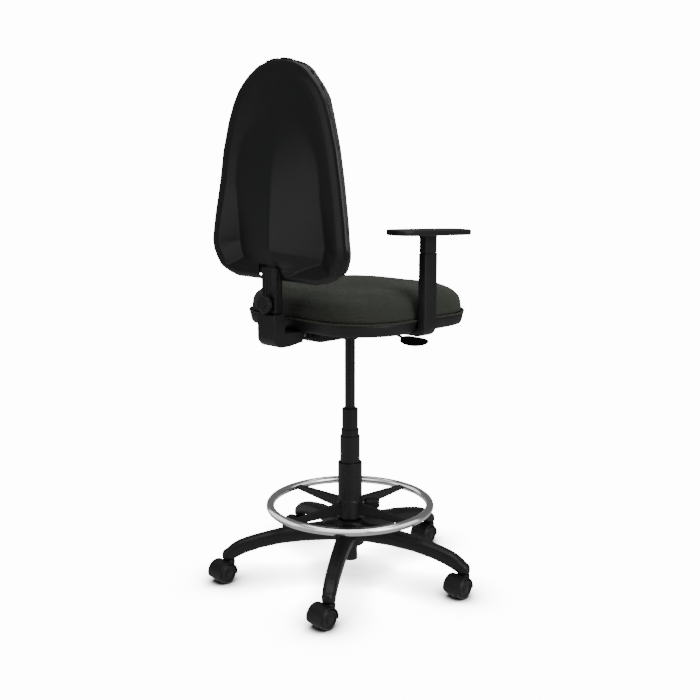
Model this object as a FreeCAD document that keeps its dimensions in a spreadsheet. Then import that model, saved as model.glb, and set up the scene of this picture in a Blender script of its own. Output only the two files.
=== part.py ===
import FreeCAD, Part
import math
import os
import Sketcher

# Drafting chair with a gas lift, an adjustable footring, a tilting back and two
# height-adjustable arms. Millimetres, +Z up, origin on the floor under the column.
# The chair faces -Y and the sitter's left is +X. Castors trail towards +Y.

SIZES = {
    # castors
    "wheel_radius": 25.0,
    "wheel_width": 18.0,
    "wheel_gap": 16.0,
    "castor_trail": 20.0,
    "axle_radius": 3.0,
    "stem_radius": 5.5,
    "hood_width": 50.0,
    "hood_wall": 1.8,
    "hood_clearance": 1.0,
    "web_width": 14.0,
    "running_gap": 0.05,
    # base
    "base_reach": 309.4,
    "leg_width_root": 44.0,
    "leg_width_tip": 33.0,
    "leg_tip_bottom": 54.0,
    "leg_tip_top": 92.0,
    "leg_root_top": 137.0,
    "leg_root_bottom": 92.0,
    "hub_radius": 38.0,
    "hub_bottom": 76.0,
    "hub_top": 145.0,
    # column
    "column_foot": 36.0,
    "column_foot_radius": 19.0,
    "tube_radius": 25.0,
    "tube_wall": 2.0,
    "tube_top": 361.4,
    "collar_radius": 22.0,
    "collar_height": 18.7,
    "neck_radius": 20.0,
    "neck_top": 433.0,
    "cylinder_radius": 13.0,
    "cylinder_wall": 1.8,
    "cylinder_bottom": 338.0,
    "cylinder_top": 640.0,
    "rod_radius": 5.0,
    "bearing_radius": 15.0,
    "bearing_height": 9.0,
    "valve_radius": 3.0,
    "valve_proud": 6.0,
    # footring
    "ring_radius": 202.4,
    "ring_tube_radius": 10.0,
    "ring_level": 182.0,
    "sleeve_wall": 3.4,
    "sleeve_bottom": 150.0,
    "sleeve_top": 294.8,
    "bush_wall": 2.0,
    "spoke_depth": 30.0,
    "spoke_tip_depth": 9.0,
    "spoke_width": 14.0,
    "clamp_level": 184.0,
    "clamp_knob_radius": 14.0,
    "clamp_knob_reach": 75.0,
    "clamp_screw_radius": 4.0,
    # seat
    "seat_width": 470.0,
    "seat_depth": 444.0,
    "seat_middle": -22.0,
    "seat_corner": 140.0,
    "pan_bottom": 662.0,
    "pan_top": 694.0,
    "pan_wall": 4.0,
    "board_thickness": 12.0,
    "cushion_top": 745.0,
    "cushion_round": 24.0,
    # mechanism
    "housing_half_width": 50.0,
    "housing_front": -70.0,
    "housing_rear": 150.0,
    "housing_bottom": 622.0,
    "housing_wall": 3.0,
    "socket_radius": 20.0,
    "socket_bottom": 608.0,
    "flange_half_width": 90.0,
    "flange_thickness": 4.0,
    "hinge_offset": 170.0,
    "hinge_level": 639.0,
    "hinge_pin_radius": 4.0,
    "ear_radius": 9.0,
    "ear_half_gap": 15.5,
    "ear_thickness": 5.0,
    "screw_radius": 3.0,
    # gas lever
    "lever_pivot": -30.0,
    "lever_level": 650.0,
    "lever_rod_radius": 3.2,
    "lever_side_shift": -45.0,
    "lever_pin_radius": 2.0,
    "lever_barrel_radius": 5.0,
    "lever_barrel_length": 16.0,
    "lever_ear_gap": 0.5,
    "lever_ear_thickness": 4.0,
    "paddle_level": 619.0,
    "paddle_start": -128.0,
    "paddle_length": 86.0,
    "paddle_width": 30.0,
    "paddle_thickness": 6.0,
    # back bar, boot and upright
    "bar_width": 30.0,
    "bar_thickness": 5.0,
    "bar_centre": 250.0,
    "bar_top": 858.0,
    "boot_half_width": 29.5,
    "boot_rear": 271.0,
    "boot_front": 237.0,
    "boot_bottom": 620.0,
    "boot_leg_front": 183.0,
    "boot_leg_top": 652.0,
    "boot_rim": 697.0,
    "boot_wall": 3.0,
    "boot_corner": 25.0,
    "upright_half_width": 22.0,
    "upright_front": 237.0,
    "upright_rear": 263.0,
    "upright_gap": 1.0,
    "bar_clearance": 0.3,
    "notch_top": 803.0,
    "notch_half_width": 86.0,
    "carrier_half_width": 17.0,
    "carrier_top": 845.0,
    "carrier_wall": 1.5,
    "carrier_plate_half_width": 42.0,
    "carrier_plate_thickness": 4.0,
    "back_knob_level": 719.0,
    "back_knob_radius": 21.0,
    "back_knob_thickness": 14.0,
    "back_knob_gap": 3.0,
    "knob_screw_radius": 4.0,
    "boss_height": 44.0,
    "boss_half_width": 14.0,
    "boss_depth": 12.0,
    # backrest
    "back_board_margin": 28.0,
    "back_board_thickness": 12.0,
    "back_board_rear": 2.0,
    "back_cushion_depth": 72.0,
    "shell_margin": 8.0,
    "shell_rim_rear": 16.0,
    "shell_wall": 3.0,
    # arms
    "arm_gap": 3.6,
    "arm_thickness": 21.0,
    "arm_depth": 40.6,
    "arm_wall": 3.0,
    "arm_foot_bottom": 644.0,
    "arm_foot_inner": 100.0,
    "arm_bend_radius": 24.0,
    "sleeve_bore_bottom": 690.0,
    "arm_sleeve_top": 835.0,
    "arm_post_bottom": 712.0,
    "arm_post_clearance": 0.3,
    "arm_head_depth": 36.6,
    "arm_head_thickness": 18.0,
    "arm_head_gap": 1.0,
    "pad_bottom": 875.0,
    "pad_thickness": 13.0,
    "pad_length": 245.0,
    "pad_width": 80.0,
    "pad_shift": -5.0,
    "pad_edge": 4.0,
    "arm_button_level": 810.0,
    "arm_button_radius": 3.5,
    "arm_button_proud": 3.5,
    "groove_half_width": 4.5,
    "groove_depth": 4.0,
}

# Stations up the backrest: level, half width of the cushion, mid-plane of its
# edge, then how far the shell's middle and its side creases stand behind it.
BACK_STATIONS = [
    ("back_foot", 768.0, 132.0, 229.0, 17.0, 12.0),
    ("back_low", 800.0, 214.0, 229.0, 33.0, 6.0),
    ("back_wide", 850.0, 234.0, 230.0, 31.0, 2.0),
    ("back_waist", 990.0, 210.0, 223.5, 29.0, 9.0),
    ("back_chest", 1128.0, 177.0, 221.0, 16.0, 10.0),
    ("back_shoulder", 1200.0, 139.0, 217.0, 14.0, 12.0),
    ("back_neck", 1244.0, 86.0, 213.0, 13.0, 12.5),
    ("back_crown", 1264.0, 34.0, 210.0, 12.0, 12.0),
]
CREASE_SHARE = 0.67
STATION_SPACING = 3.0
CASTORS = 5
SPOKES = 4


class Size:
    """A number in millimetres with the spreadsheet expression that gives it."""

    def __init__(self, value, text):
        self.value = float(value)
        self.text = text

    def __add__(self, other):
        other = lift(other)
        return Size(self.value + other.value, f"({self.text} + {other.text})")

    def __sub__(self, other):
        other = lift(other)
        return Size(self.value - other.value, f"({self.text} - {other.text})")

    def __mul__(self, other):
        other = lift(other)
        return Size(self.value * other.value, f"({self.text} * {other.text})")

    def __truediv__(self, other):
        other = lift(other)
        return Size(self.value / other.value, f"({self.text} / {other.text})")

    def __radd__(self, other):
        return lift(other) + self

    def __rsub__(self, other):
        return lift(other) - self

    def __rmul__(self, other):
        return lift(other) * self

    def __neg__(self):
        return Size(-self.value, f"(0 - {self.text})")


def lift(item):
    """A plain number as a Size, so that both kinds mix in one sum."""
    if isinstance(item, Size):
        return item
    return Size(item, f"{float(item):.6f}")


class Sheet:
    """The driving dimensions, one named spreadsheet cell each."""

    def __init__(self, document):
        self.table = document.addObject("Spreadsheet::Sheet", "Sizes")
        self.rows = 0

    def put(self, alias, number):
        self.rows += 1
        self.table.set(f"A{self.rows}", alias)
        self.table.set(f"B{self.rows}", repr(number))
        self.table.setAlias(f"B{self.rows}", alias)
        size = Size(number, f"Sizes.{alias}")
        setattr(self, alias, size)
        return size


doc = FreeCAD.newDocument("drafting_chair")
dim = Sheet(doc)
for alias, number in SIZES.items():
    dim.put(alias, number)
doc.recompute()

PARTS = []


# ---------------------------------------------------------------- helpers

def bind(thing, name, size):
    """Tie one property to the spreadsheet."""
    thing.setExpression(name, lift(size).text)


def place(thing, x=0, y=0, z=0, axis=(0, 0, 1), degrees=0):
    """Turn a finished piece about an axis and move it to its place."""
    turn = FreeCAD.Rotation(FreeCAD.Vector(*axis), degrees)
    spot = FreeCAD.Vector(lift(x).value, lift(y).value, lift(z).value)
    thing.Placement = FreeCAD.Placement(spot, turn)
    bind(thing, "Placement.Base.x", x)
    bind(thing, "Placement.Base.y", y)
    bind(thing, "Placement.Base.z", z)


def new_body(label):
    body = doc.addObject("PartDesign::Body", label)
    body.Label = label
    PARTS.append(body)
    return body


def sketch_on(body, plane, offset=0):
    """An empty sketch on one of the body's own origin planes."""
    sketch = body.newObject("Sketcher::SketchObject", body.Name + "_sketch")
    support = [item for item in body.Origin.OriginFeatures if item.Role == plane][0]
    sketch.AttachmentSupport = [(support, "")]
    sketch.MapMode = "FlatFace"
    bind(sketch, "AttachmentOffset.Base.z", offset)
    return sketch


def tie(sketch, kind, geometry, point, size):
    """A driving distance from the sketch's origin to a point."""
    size = lift(size)
    number = sketch.addConstraint(
        Sketcher.Constraint(kind, -1, 1, geometry, point, size.value))
    bind(sketch, f"Constraints[{number}]", size)


def tie_point(sketch, geometry, point, x, y):
    tie(sketch, "DistanceX", geometry, point, x)
    tie(sketch, "DistanceY", geometry, point, y)


def tie_radius(sketch, geometry, radius):
    number = sketch.addConstraint(
        Sketcher.Constraint("Radius", geometry, lift(radius).value))
    bind(sketch, f"Constraints[{number}]", radius)


def draw_outline(sketch, points):
    """A closed outline of straight sides whose corners follow the sheet."""
    corners = [FreeCAD.Vector(lift(x).value, lift(y).value, 0) for x, y in points]
    first = sketch.GeometryCount
    count = len(points)
    for index, start in enumerate(corners):
        end = corners[(index + 1) % count]
        sketch.addGeometry(Part.LineSegment(start, end), False)
    for index, (x, y) in enumerate(points):
        here = first + index
        after = first + (index + 1) % count
        sketch.addConstraint(Sketcher.Constraint("Coincident", here, 2, after, 1))
        tie_point(sketch, here, 1, x, y)


def draw_circle(sketch, x, y, radius):
    centre = FreeCAD.Vector(lift(x).value, lift(y).value, 0)
    upright = FreeCAD.Vector(0, 0, 1)
    index = sketch.addGeometry(Part.Circle(centre, upright, lift(radius).value), False)
    tie_point(sketch, index, 3, x, y)
    tie_radius(sketch, index, radius)


def draw_rounded(sketch, x, y, width, depth, radius):
    """A rectangle about (x, y) with four round corners."""
    x, y, radius = lift(x), lift(y), lift(radius)
    right, left = x + width / 2, x - width / 2
    back, front = y + depth / 2, y - depth / 2
    sides = [
        ((left + radius, front), (right - radius, front)),
        ((right, front + radius), (right, back - radius)),
        ((right - radius, back), (left + radius, back)),
        ((left, back - radius), (left, front + radius)),
    ]
    centres = [
        (right - radius, front + radius, -90),
        (right - radius, back - radius, 0),
        (left + radius, back - radius, 90),
        (left + radius, front + radius, 180),
    ]
    for (x1, y1), (x2, y2) in sides:
        start = FreeCAD.Vector(x1.value, y1.value, 0)
        end = FreeCAD.Vector(x2.value, y2.value, 0)
        index = sketch.addGeometry(Part.LineSegment(start, end), False)
        tie_point(sketch, index, 1, x1, y1)
        tie_point(sketch, index, 2, x2, y2)
    for corner, (cx, cy, degrees) in enumerate(centres):
        circle = Part.Circle(FreeCAD.Vector(cx.value, cy.value, 0),
                             FreeCAD.Vector(0, 0, 1), radius.value)
        arc = Part.ArcOfCircle(circle, math.radians(degrees), math.radians(degrees + 90))
        index = sketch.addGeometry(arc, False)
        sketch.addConstraint(Sketcher.Constraint("Coincident", index, 1, corner, 2))
        sketch.addConstraint(
            Sketcher.Constraint("Coincident", index, 2, (corner + 1) % 4, 1))
        tie_radius(sketch, index, radius)


def grow(body, kind, sketch, length, both_ways=False, backwards=False):
    """A Pad or Pocket of a sketch."""
    feature = body.newObject("PartDesign::" + kind, body.Name + "_" + kind.lower())
    feature.Profile = sketch
    bind(feature, "Length", length)
    feature.Reversed = backwards
    if both_ways:
        feature.SideType = "Symmetric"
    return feature


def pad(body, sketch, length, **options):
    return grow(body, "Pad", sketch, length, **options)


def pocket(body, sketch, length, **options):
    """A pocket, refused if it takes nothing away."""
    doc.recompute()
    before = body.Shape.Volume
    feature = grow(body, "Pocket", sketch, length, **options)
    doc.recompute()
    if body.Shape.Volume >= before - 0.1:
        raise RuntimeError(f"{body.Label}: a pocket cuts nothing")
    return feature


def revolve(body, points):
    """Turn an outline of (radius, height) points about the body's Z axis."""
    sketch = sketch_on(body, "XZ_Plane")
    draw_outline(sketch, points)
    turned = body.newObject("PartDesign::Revolution", body.Name + "_turned")
    turned.Profile = sketch
    turned.ReferenceAxis = (sketch, ["V_Axis"])
    turned.Angle = 360
    return turned


def turned_part(label, points, **where):
    body = new_body(label)
    revolve(body, points)
    place(body, **where)
    return body


def ring_outline(inner, outer, bottom, top):
    return [(inner, bottom), (outer, bottom), (outer, top), (inner, top)]


def rod_outline(radius, bottom, top):
    return ring_outline(lift(0), radius, bottom, top)


def polar(body, features, count):
    """Repeat features about the body's Z axis."""
    doc.recompute()
    pattern = body.newObject("PartDesign::PolarPattern", body.Name + "_polar")
    pattern.Originals = features
    axis = [item for item in body.Origin.OriginFeatures if item.Role == "Z_Axis"][0]
    pattern.Axis = (axis, [""])
    pattern.Angle = 360
    pattern.Occurrences = count
    body.Tip = pattern
    return pattern


def round_edges(body, radius, chosen):
    """Fillet the edges of the body's solid that the test picks."""
    doc.recompute()
    names = [f"Edge{index + 1}" for index, edge in enumerate(body.Shape.Edges)
             if chosen(edge.BoundBox)]
    if not names:
        raise RuntimeError(f"{body.Label}: no edge to round")
    base = body.Tip
    fillet = body.newObject("PartDesign::Fillet", body.Name + "_round")
    fillet.Base = (base, names)
    bind(fillet, "Radius", radius)
    body.Tip = fillet
    return fillet


def combine(kind, label, base, tool):
    made = doc.addObject("Part::" + kind, label)
    made.Label = label
    made.Base = base
    made.Tool = tool
    return made


# ---------------------------------------------------------------- castors

def castor_spots():
    """Stem centres, one leg straight ahead and the rest in even turns."""
    for index in range(CASTORS):
        turn = math.radians(-90 + 360 / CASTORS * index)
        yield index + 1, dim.base_reach * math.cos(turn), dim.base_reach * math.sin(turn)


def castor_hood(number, x, y):
    """Web between the wheels, a curved guard over them and a bore for the stem."""
    body = new_body(f"castor_hood_{number}")
    hub = (dim.castor_trail, dim.wheel_radius)
    inner = dim.wheel_radius + dim.hood_clearance
    outer = inner + dim.hood_wall
    guard = sketch_on(body, "YZ_Plane")
    draw_circle(guard, *hub, outer)
    pad(body, guard, dim.hood_width, both_ways=True)
    under = sketch_on(body, "YZ_Plane")
    draw_outline(under, [(hub[0] - outer * 2, dim.wheel_radius * 0.9),
                         (hub[0], dim.wheel_radius * 1.35),
                         (hub[0] + outer * 2, dim.wheel_radius * 2.0),
                         (hub[0] + outer * 2, -outer), (hub[0] - outer * 2, -outer)])
    pocket(body, under, dim.hood_width * 2, both_ways=True)
    for backwards in (False, True):
        offset = dim.web_width / 2
        hollow = sketch_on(body, "YZ_Plane", -offset if backwards else offset)
        draw_circle(hollow, *hub, inner)
        pocket(body, hollow, dim.hood_width, backwards=not backwards)
    web = sketch_on(body, "YZ_Plane")
    draw_circle(web, *hub, dim.wheel_radius * 0.8)
    pad(body, web, dim.web_width, both_ways=True)
    neck = sketch_on(body, "YZ_Plane")
    front = -(dim.stem_radius + dim.hood_wall * 2)
    draw_outline(neck, [(front, dim.wheel_radius), (hub[0], dim.wheel_radius),
                        (hub[0], dim.wheel_radius + outer), (front, dim.leg_tip_bottom - 2)])
    pad(body, neck, dim.web_width, both_ways=True)
    bore = sketch_on(body, "XY_Plane", dim.wheel_radius + 8)
    draw_circle(bore, 0, 0, dim.stem_radius + dim.running_gap)
    pocket(body, bore, dim.wheel_radius * 2, backwards=True)
    shaft = sketch_on(body, "YZ_Plane")
    draw_circle(shaft, *hub, dim.axle_radius)
    pocket(body, shaft, dim.web_width * 2, both_ways=True)
    place(body, x, y)


def castor_wheel(label, x, y, side):
    """Solid tread with a recessed face and a blind bore, turned then laid on its side."""
    bore = dim.axle_radius + dim.running_gap
    rim = dim.wheel_radius
    width = dim.wheel_width
    deep = width - 4
    outline = [(bore, 0), (rim - 3, 0), (rim, 2.5), (rim, width - 2.5), (rim - 3, width),
               (rim * 0.64, width), (rim * 0.6, width - 2), (0, width - 2), (0, deep),
               (bore, deep)]
    turned_part(label, outline, x=x + side * dim.wheel_gap / 2, y=y + dim.castor_trail,
                z=dim.wheel_radius, axis=(0, 1, 0), degrees=90 * side)


def castor_axle(number, x, y):
    reach = dim.wheel_gap / 2 + dim.wheel_width - 5
    turned_part(f"castor_axle_{number}", rod_outline(dim.axle_radius, -reach, reach),
                x=x, y=y + dim.castor_trail, z=dim.wheel_radius, axis=(0, 1, 0), degrees=90)


def castor_stems():
    """Five steel stems, pressed into the legs and running in the hoods."""
    body = new_body("castor_stems")
    sketch = sketch_on(body, "XY_Plane", dim.wheel_radius + 10)
    for _, x, y in castor_spots():
        draw_circle(sketch, x, y, dim.stem_radius)
    pad(body, sketch, dim.leg_tip_top - 14 - dim.wheel_radius - 10)


# ---------------------------------------------------------------- base and column

def base_star():
    """Hub and five legs that taper, dip at their ends and hold the stems."""
    body = new_body("base_star")
    taper_top = dim.tube_radius - 0.5
    taper_foot = dim.tube_radius - 2.5
    revolve(body, [(taper_foot, dim.hub_bottom), (dim.hub_radius - 4, dim.hub_bottom),
                   (dim.hub_radius, dim.leg_root_bottom), (dim.hub_radius, dim.leg_root_top),
                   (dim.hub_radius - 5, dim.hub_top), (taper_top, dim.hub_top)])
    tip = dim.base_reach + dim.leg_width_tip / 2
    leg = sketch_on(body, "XZ_Plane")
    draw_outline(leg, [
        (taper_top + 3, dim.leg_root_bottom),
        (dim.base_reach * 0.5, dim.leg_root_bottom + 2),
        (dim.base_reach * 0.82, dim.leg_root_bottom - 8),
        (dim.base_reach - dim.leg_width_tip / 2, dim.leg_tip_top - 20),
        (dim.base_reach - dim.leg_width_tip / 2, dim.leg_tip_bottom),
        (tip, dim.leg_tip_bottom),
        (tip, dim.leg_tip_top - 14),
        (tip - 6, dim.leg_tip_top),
        (dim.base_reach * 0.93, dim.leg_tip_top + 14),
        (dim.base_reach * 0.81, dim.leg_root_top - 16),
        (dim.base_reach * 0.52, dim.leg_root_top - 4),
        (taper_top + 3, dim.leg_root_top),
    ])
    leg_pad = pad(body, leg, dim.leg_width_root, both_ways=True)
    cuts = []
    for side in (1, -1):
        flank = sketch_on(body, "XY_Plane")
        draw_outline(flank, [(dim.hub_radius, side * dim.leg_width_root / 2),
                             (tip, side * dim.leg_width_tip / 2),
                             (tip + 5, side * dim.leg_width_tip / 2),
                             (tip + 5, side * (dim.leg_width_root / 2 + 2)),
                             (dim.hub_radius, side * (dim.leg_width_root / 2 + 2))])
        cuts.append(pocket(body, flank, dim.leg_root_top + 5, backwards=True))
    socket = sketch_on(body, "XY_Plane", dim.leg_tip_bottom)
    draw_circle(socket, dim.base_reach, 0, dim.stem_radius)
    hole = pocket(body, socket, dim.leg_tip_top - 14 - dim.leg_tip_bottom, backwards=True)
    polar(body, [leg_pad] + cuts + [hole], CASTORS)
    place(body, degrees=-90)


def column_tube():
    """Outer tube with a tapered foot that wedges in the hub, and a floor for the bearing."""
    foot = dim.column_foot
    inner = dim.tube_radius - dim.tube_wall
    narrow = dim.column_foot_radius - dim.tube_wall
    turned_part("column_tube", [
        (dim.rod_radius + 2, foot), (dim.column_foot_radius, foot),
        (dim.column_foot_radius, dim.hub_bottom - 2), (dim.tube_radius - 2.5, dim.hub_bottom),
        (dim.tube_radius - 0.5, dim.hub_top), (dim.tube_radius, dim.hub_top + 1),
        (dim.tube_radius, dim.tube_top), (inner, dim.tube_top), (inner, dim.hub_top + 8),
        (narrow, dim.hub_bottom), (narrow, foot + 4), (dim.rod_radius + 2, foot + 4)])


def guide_bush():
    """Plastic guide: a sleeve in the tube, a collar on its end and a slimmer neck."""
    bore = dim.cylinder_radius + dim.running_gap
    sleeve = dim.tube_radius - dim.tube_wall
    collar_top = dim.tube_top + dim.collar_height
    turned_part("guide_bush", [
        (bore, dim.tube_top - 70), (sleeve, dim.tube_top - 70), (sleeve, dim.tube_top),
        (dim.collar_radius, dim.tube_top), (dim.collar_radius, collar_top - 1.5),
        (dim.collar_radius - 1.5, collar_top), (dim.neck_radius, collar_top),
        (dim.neck_radius, dim.neck_top - 2), (dim.neck_radius - 2, dim.neck_top),
        (bore, dim.neck_top)])


def column_inner_parts():
    floor = dim.column_foot + 4
    rod_gap = dim.rod_radius + dim.running_gap
    bearing_top = floor + dim.bearing_height
    turned_part("thrust_bearing", ring_outline(rod_gap, dim.bearing_radius, floor, bearing_top))
    shoulder = bearing_top + dim.running_gap
    piston = dim.cylinder_radius - dim.cylinder_wall - dim.running_gap
    piston_foot = dim.cylinder_bottom + 8
    turned_part("piston_rod", [
        (0, dim.column_foot - 4), (dim.rod_radius, dim.column_foot - 4),
        (dim.rod_radius, shoulder), (dim.rod_radius + 3, shoulder),
        (dim.rod_radius + 3, shoulder + 4), (dim.rod_radius, shoulder + 4),
        (dim.rod_radius, piston_foot), (piston, piston_foot), (piston, piston_foot + 14),
        (0, piston_foot + 14)])
    turned_part("retaining_clip", ring_outline(
        dim.rod_radius, dim.rod_radius + 4.5, dim.column_foot - 3, dim.column_foot - 1.5))


def gas_cylinder():
    """Pressure tube, open on the rod, with a solid head that holds the valve pin."""
    inner = dim.cylinder_radius - dim.cylinder_wall
    head = dim.cylinder_top - 40
    pin = dim.valve_radius + dim.running_gap
    turned_part("gas_cylinder", [
        (dim.rod_radius + dim.running_gap, dim.cylinder_bottom),
        (dim.cylinder_radius, dim.cylinder_bottom), (dim.cylinder_radius, dim.cylinder_top),
        (pin, dim.cylinder_top), (pin, dim.cylinder_top - 14), (0, dim.cylinder_top - 14),
        (0, head), (inner, head), (inner, dim.cylinder_bottom + 6),
        (dim.rod_radius + dim.running_gap, dim.cylinder_bottom + 6)])
    turned_part("valve_button", rod_outline(
        dim.valve_radius, dim.cylinder_top - 8, dim.cylinder_top + dim.valve_proud))


# ---------------------------------------------------------------- footring

def footring():
    """Liner that slides on the tube, sleeve with four spokes, bright ring and clamp."""
    bore = dim.tube_radius + dim.running_gap
    liner = bore + dim.bush_wall
    turned_part("footring_bush", ring_outline(bore, liner, dim.sleeve_bottom, dim.sleeve_top))

    body = new_body("footring_hub")
    hub_bore = liner + dim.running_gap
    sleeve = hub_bore + dim.sleeve_wall
    lower = dim.ring_level + 14
    revolve(body, [(hub_bore, dim.sleeve_bottom), (sleeve + 2, dim.sleeve_bottom),
                   (sleeve + 2, lower - 1), (sleeve, lower),
                   (sleeve, dim.sleeve_top - 2),
                   (sleeve - 2, dim.sleeve_top), (hub_bore, dim.sleeve_top)])
    spoke = sketch_on(body, "XZ_Plane")
    reach = dim.ring_radius
    draw_outline(spoke, [
        (sleeve - 1, dim.ring_level - dim.spoke_depth * 0.65),
        (reach, dim.ring_level - dim.spoke_tip_depth / 2),
        (reach, dim.ring_level + dim.spoke_tip_depth / 2),
        (sleeve - 1, dim.ring_level + dim.spoke_depth * 0.35)])
    arm = pad(body, spoke, dim.spoke_width, both_ways=True)
    polar(body, [arm], SPOKES)
    doc.recompute()
    seat = sketch_on(body, "XZ_Plane")
    draw_circle(seat, reach, dim.ring_level, dim.ring_tube_radius)
    groove = body.newObject("PartDesign::Groove", "footring_hub_seat")
    groove.Profile = seat
    groove.ReferenceAxis = (seat, ["V_Axis"])
    groove.Angle = 360
    body.Tip = groove
    place(body)
    return body, liner, sleeve


def footring_ring_and_clamp():
    body, liner, sleeve = footring()
    # The clamp screw enters between two spokes, so its hole is drilled on the diagonal.
    drill = doc.addObject("Part::Cylinder", "clamp_hole")
    bind(drill, "Radius", dim.clamp_screw_radius + dim.running_gap)
    bind(drill, "Height", sleeve * 2)
    drill.Placement = FreeCAD.Placement(
        FreeCAD.Vector(0, 0, 0), FreeCAD.Rotation(FreeCAD.Vector(-1, -1, 0).cross(
            FreeCAD.Vector(0, 0, -1)), 90))
    bind(drill, "Placement.Base.z", dim.clamp_level)
    body.Label = "footring_hub_blank"
    PARTS.remove(body)
    drilled = combine("Cut", "footring_hub", body, drill)
    PARTS.append(drilled)

    ring = doc.addObject("Part::Torus", "footring_tube")
    bind(ring, "Radius1", dim.ring_radius)
    bind(ring, "Radius2", dim.ring_tube_radius)
    place(ring, z=dim.ring_level)
    PARTS.append(ring)

    tip = liner + 0.4
    knob_foot = sleeve + 6
    knob_face = dim.clamp_knob_reach
    clamp = {"z": dim.clamp_level, "axis": (-1, 1, 0), "degrees": -90}
    turned_part("footring_screw", rod_outline(dim.clamp_screw_radius, tip, knob_foot + 4), **clamp)
    turned_part("footring_knob", [
        (dim.clamp_screw_radius, knob_foot), (dim.clamp_knob_radius * 0.7, knob_foot),
        (dim.clamp_knob_radius, knob_foot + 6), (dim.clamp_knob_radius, knob_face - 3),
        (dim.clamp_knob_radius - 3, knob_face), (0, knob_face), (0, knob_foot + 4),
        (dim.clamp_screw_radius, knob_foot + 4)], **clamp)


# ---------------------------------------------------------------- seat

def rounded_slab(label, inset, bottom, top):
    body = new_body(label)
    sketch = sketch_on(body, "XY_Plane", bottom)
    draw_rounded(sketch, 0, dim.seat_middle, dim.seat_width - inset * 2,
                 dim.seat_depth - inset * 2, dim.seat_corner - inset)
    pad(body, sketch, top - bottom)
    return body


def flange_screw_spots():
    """Four seat screws through the mechanism's flange."""
    for x in (-1, 1):
        for y in (-45, 120):
            yield x * (dim.flange_half_width - 15), lift(y)


def arm_screw_spots(side):
    """Two seat screws through the foot of the arm on one side."""
    for y in (-10, 10):
        yield side * (dim.arm_foot_inner + 55), lift(y)


def seat_screw_spots():
    yield from flange_screw_spots()
    for side in (-1, 1):
        yield from arm_screw_spots(side)


def seat():
    floor_top = dim.pan_bottom + dim.pan_wall
    board_top = floor_top + dim.board_thickness
    pan = rounded_slab("seat_pan", lift(0), dim.pan_bottom, dim.pan_top)
    round_edges(pan, dim.pan_wall * 3,
                lambda box: box.ZMax < dim.pan_bottom.value + 0.1)
    hollow = sketch_on(pan, "XY_Plane", floor_top)
    inset = dim.pan_wall * 1.5
    draw_rounded(hollow, 0, dim.seat_middle, dim.seat_width - inset * 2,
                 dim.seat_depth - inset * 2, dim.seat_corner - inset)
    pocket(pan, hollow, dim.pan_top, backwards=True)
    board = rounded_slab("seat_board", inset + 3, floor_top, board_top)
    for body, depth in ((pan, dim.pan_wall * 3), (board, dim.board_thickness)):
        holes = sketch_on(body, "XY_Plane", dim.pan_bottom if body is pan else floor_top)
        for x, y in seat_screw_spots():
            draw_circle(holes, x, y, dim.screw_radius)
        pocket(body, holes, depth, backwards=True)

    cushion = rounded_slab("seat_cushion", inset + 1, board_top, dim.pan_top)
    crown = sketch_on(cushion, "XY_Plane", dim.pan_top)
    draw_rounded(crown, 0, dim.seat_middle, dim.seat_width, dim.seat_depth, dim.seat_corner)
    pad(cushion, crown, dim.cushion_top - dim.pan_top)
    round_edges(cushion, dim.cushion_round,
                lambda box: box.ZMin > dim.cushion_top.value - 0.1)

    screws = new_body("seat_screws")
    seat_face = dim.pan_bottom - dim.flange_thickness
    shank = dim.flange_thickness + dim.pan_wall + dim.board_thickness
    head = lift(3)
    for radius, bottom, length in ((dim.screw_radius + 3, seat_face - head, head),
                                   (dim.screw_radius, seat_face, shank)):
        sketch = sketch_on(screws, "XY_Plane", bottom)
        for x, y in seat_screw_spots():
            draw_circle(sketch, x, y, radius)
        pad(screws, sketch, length)


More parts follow.
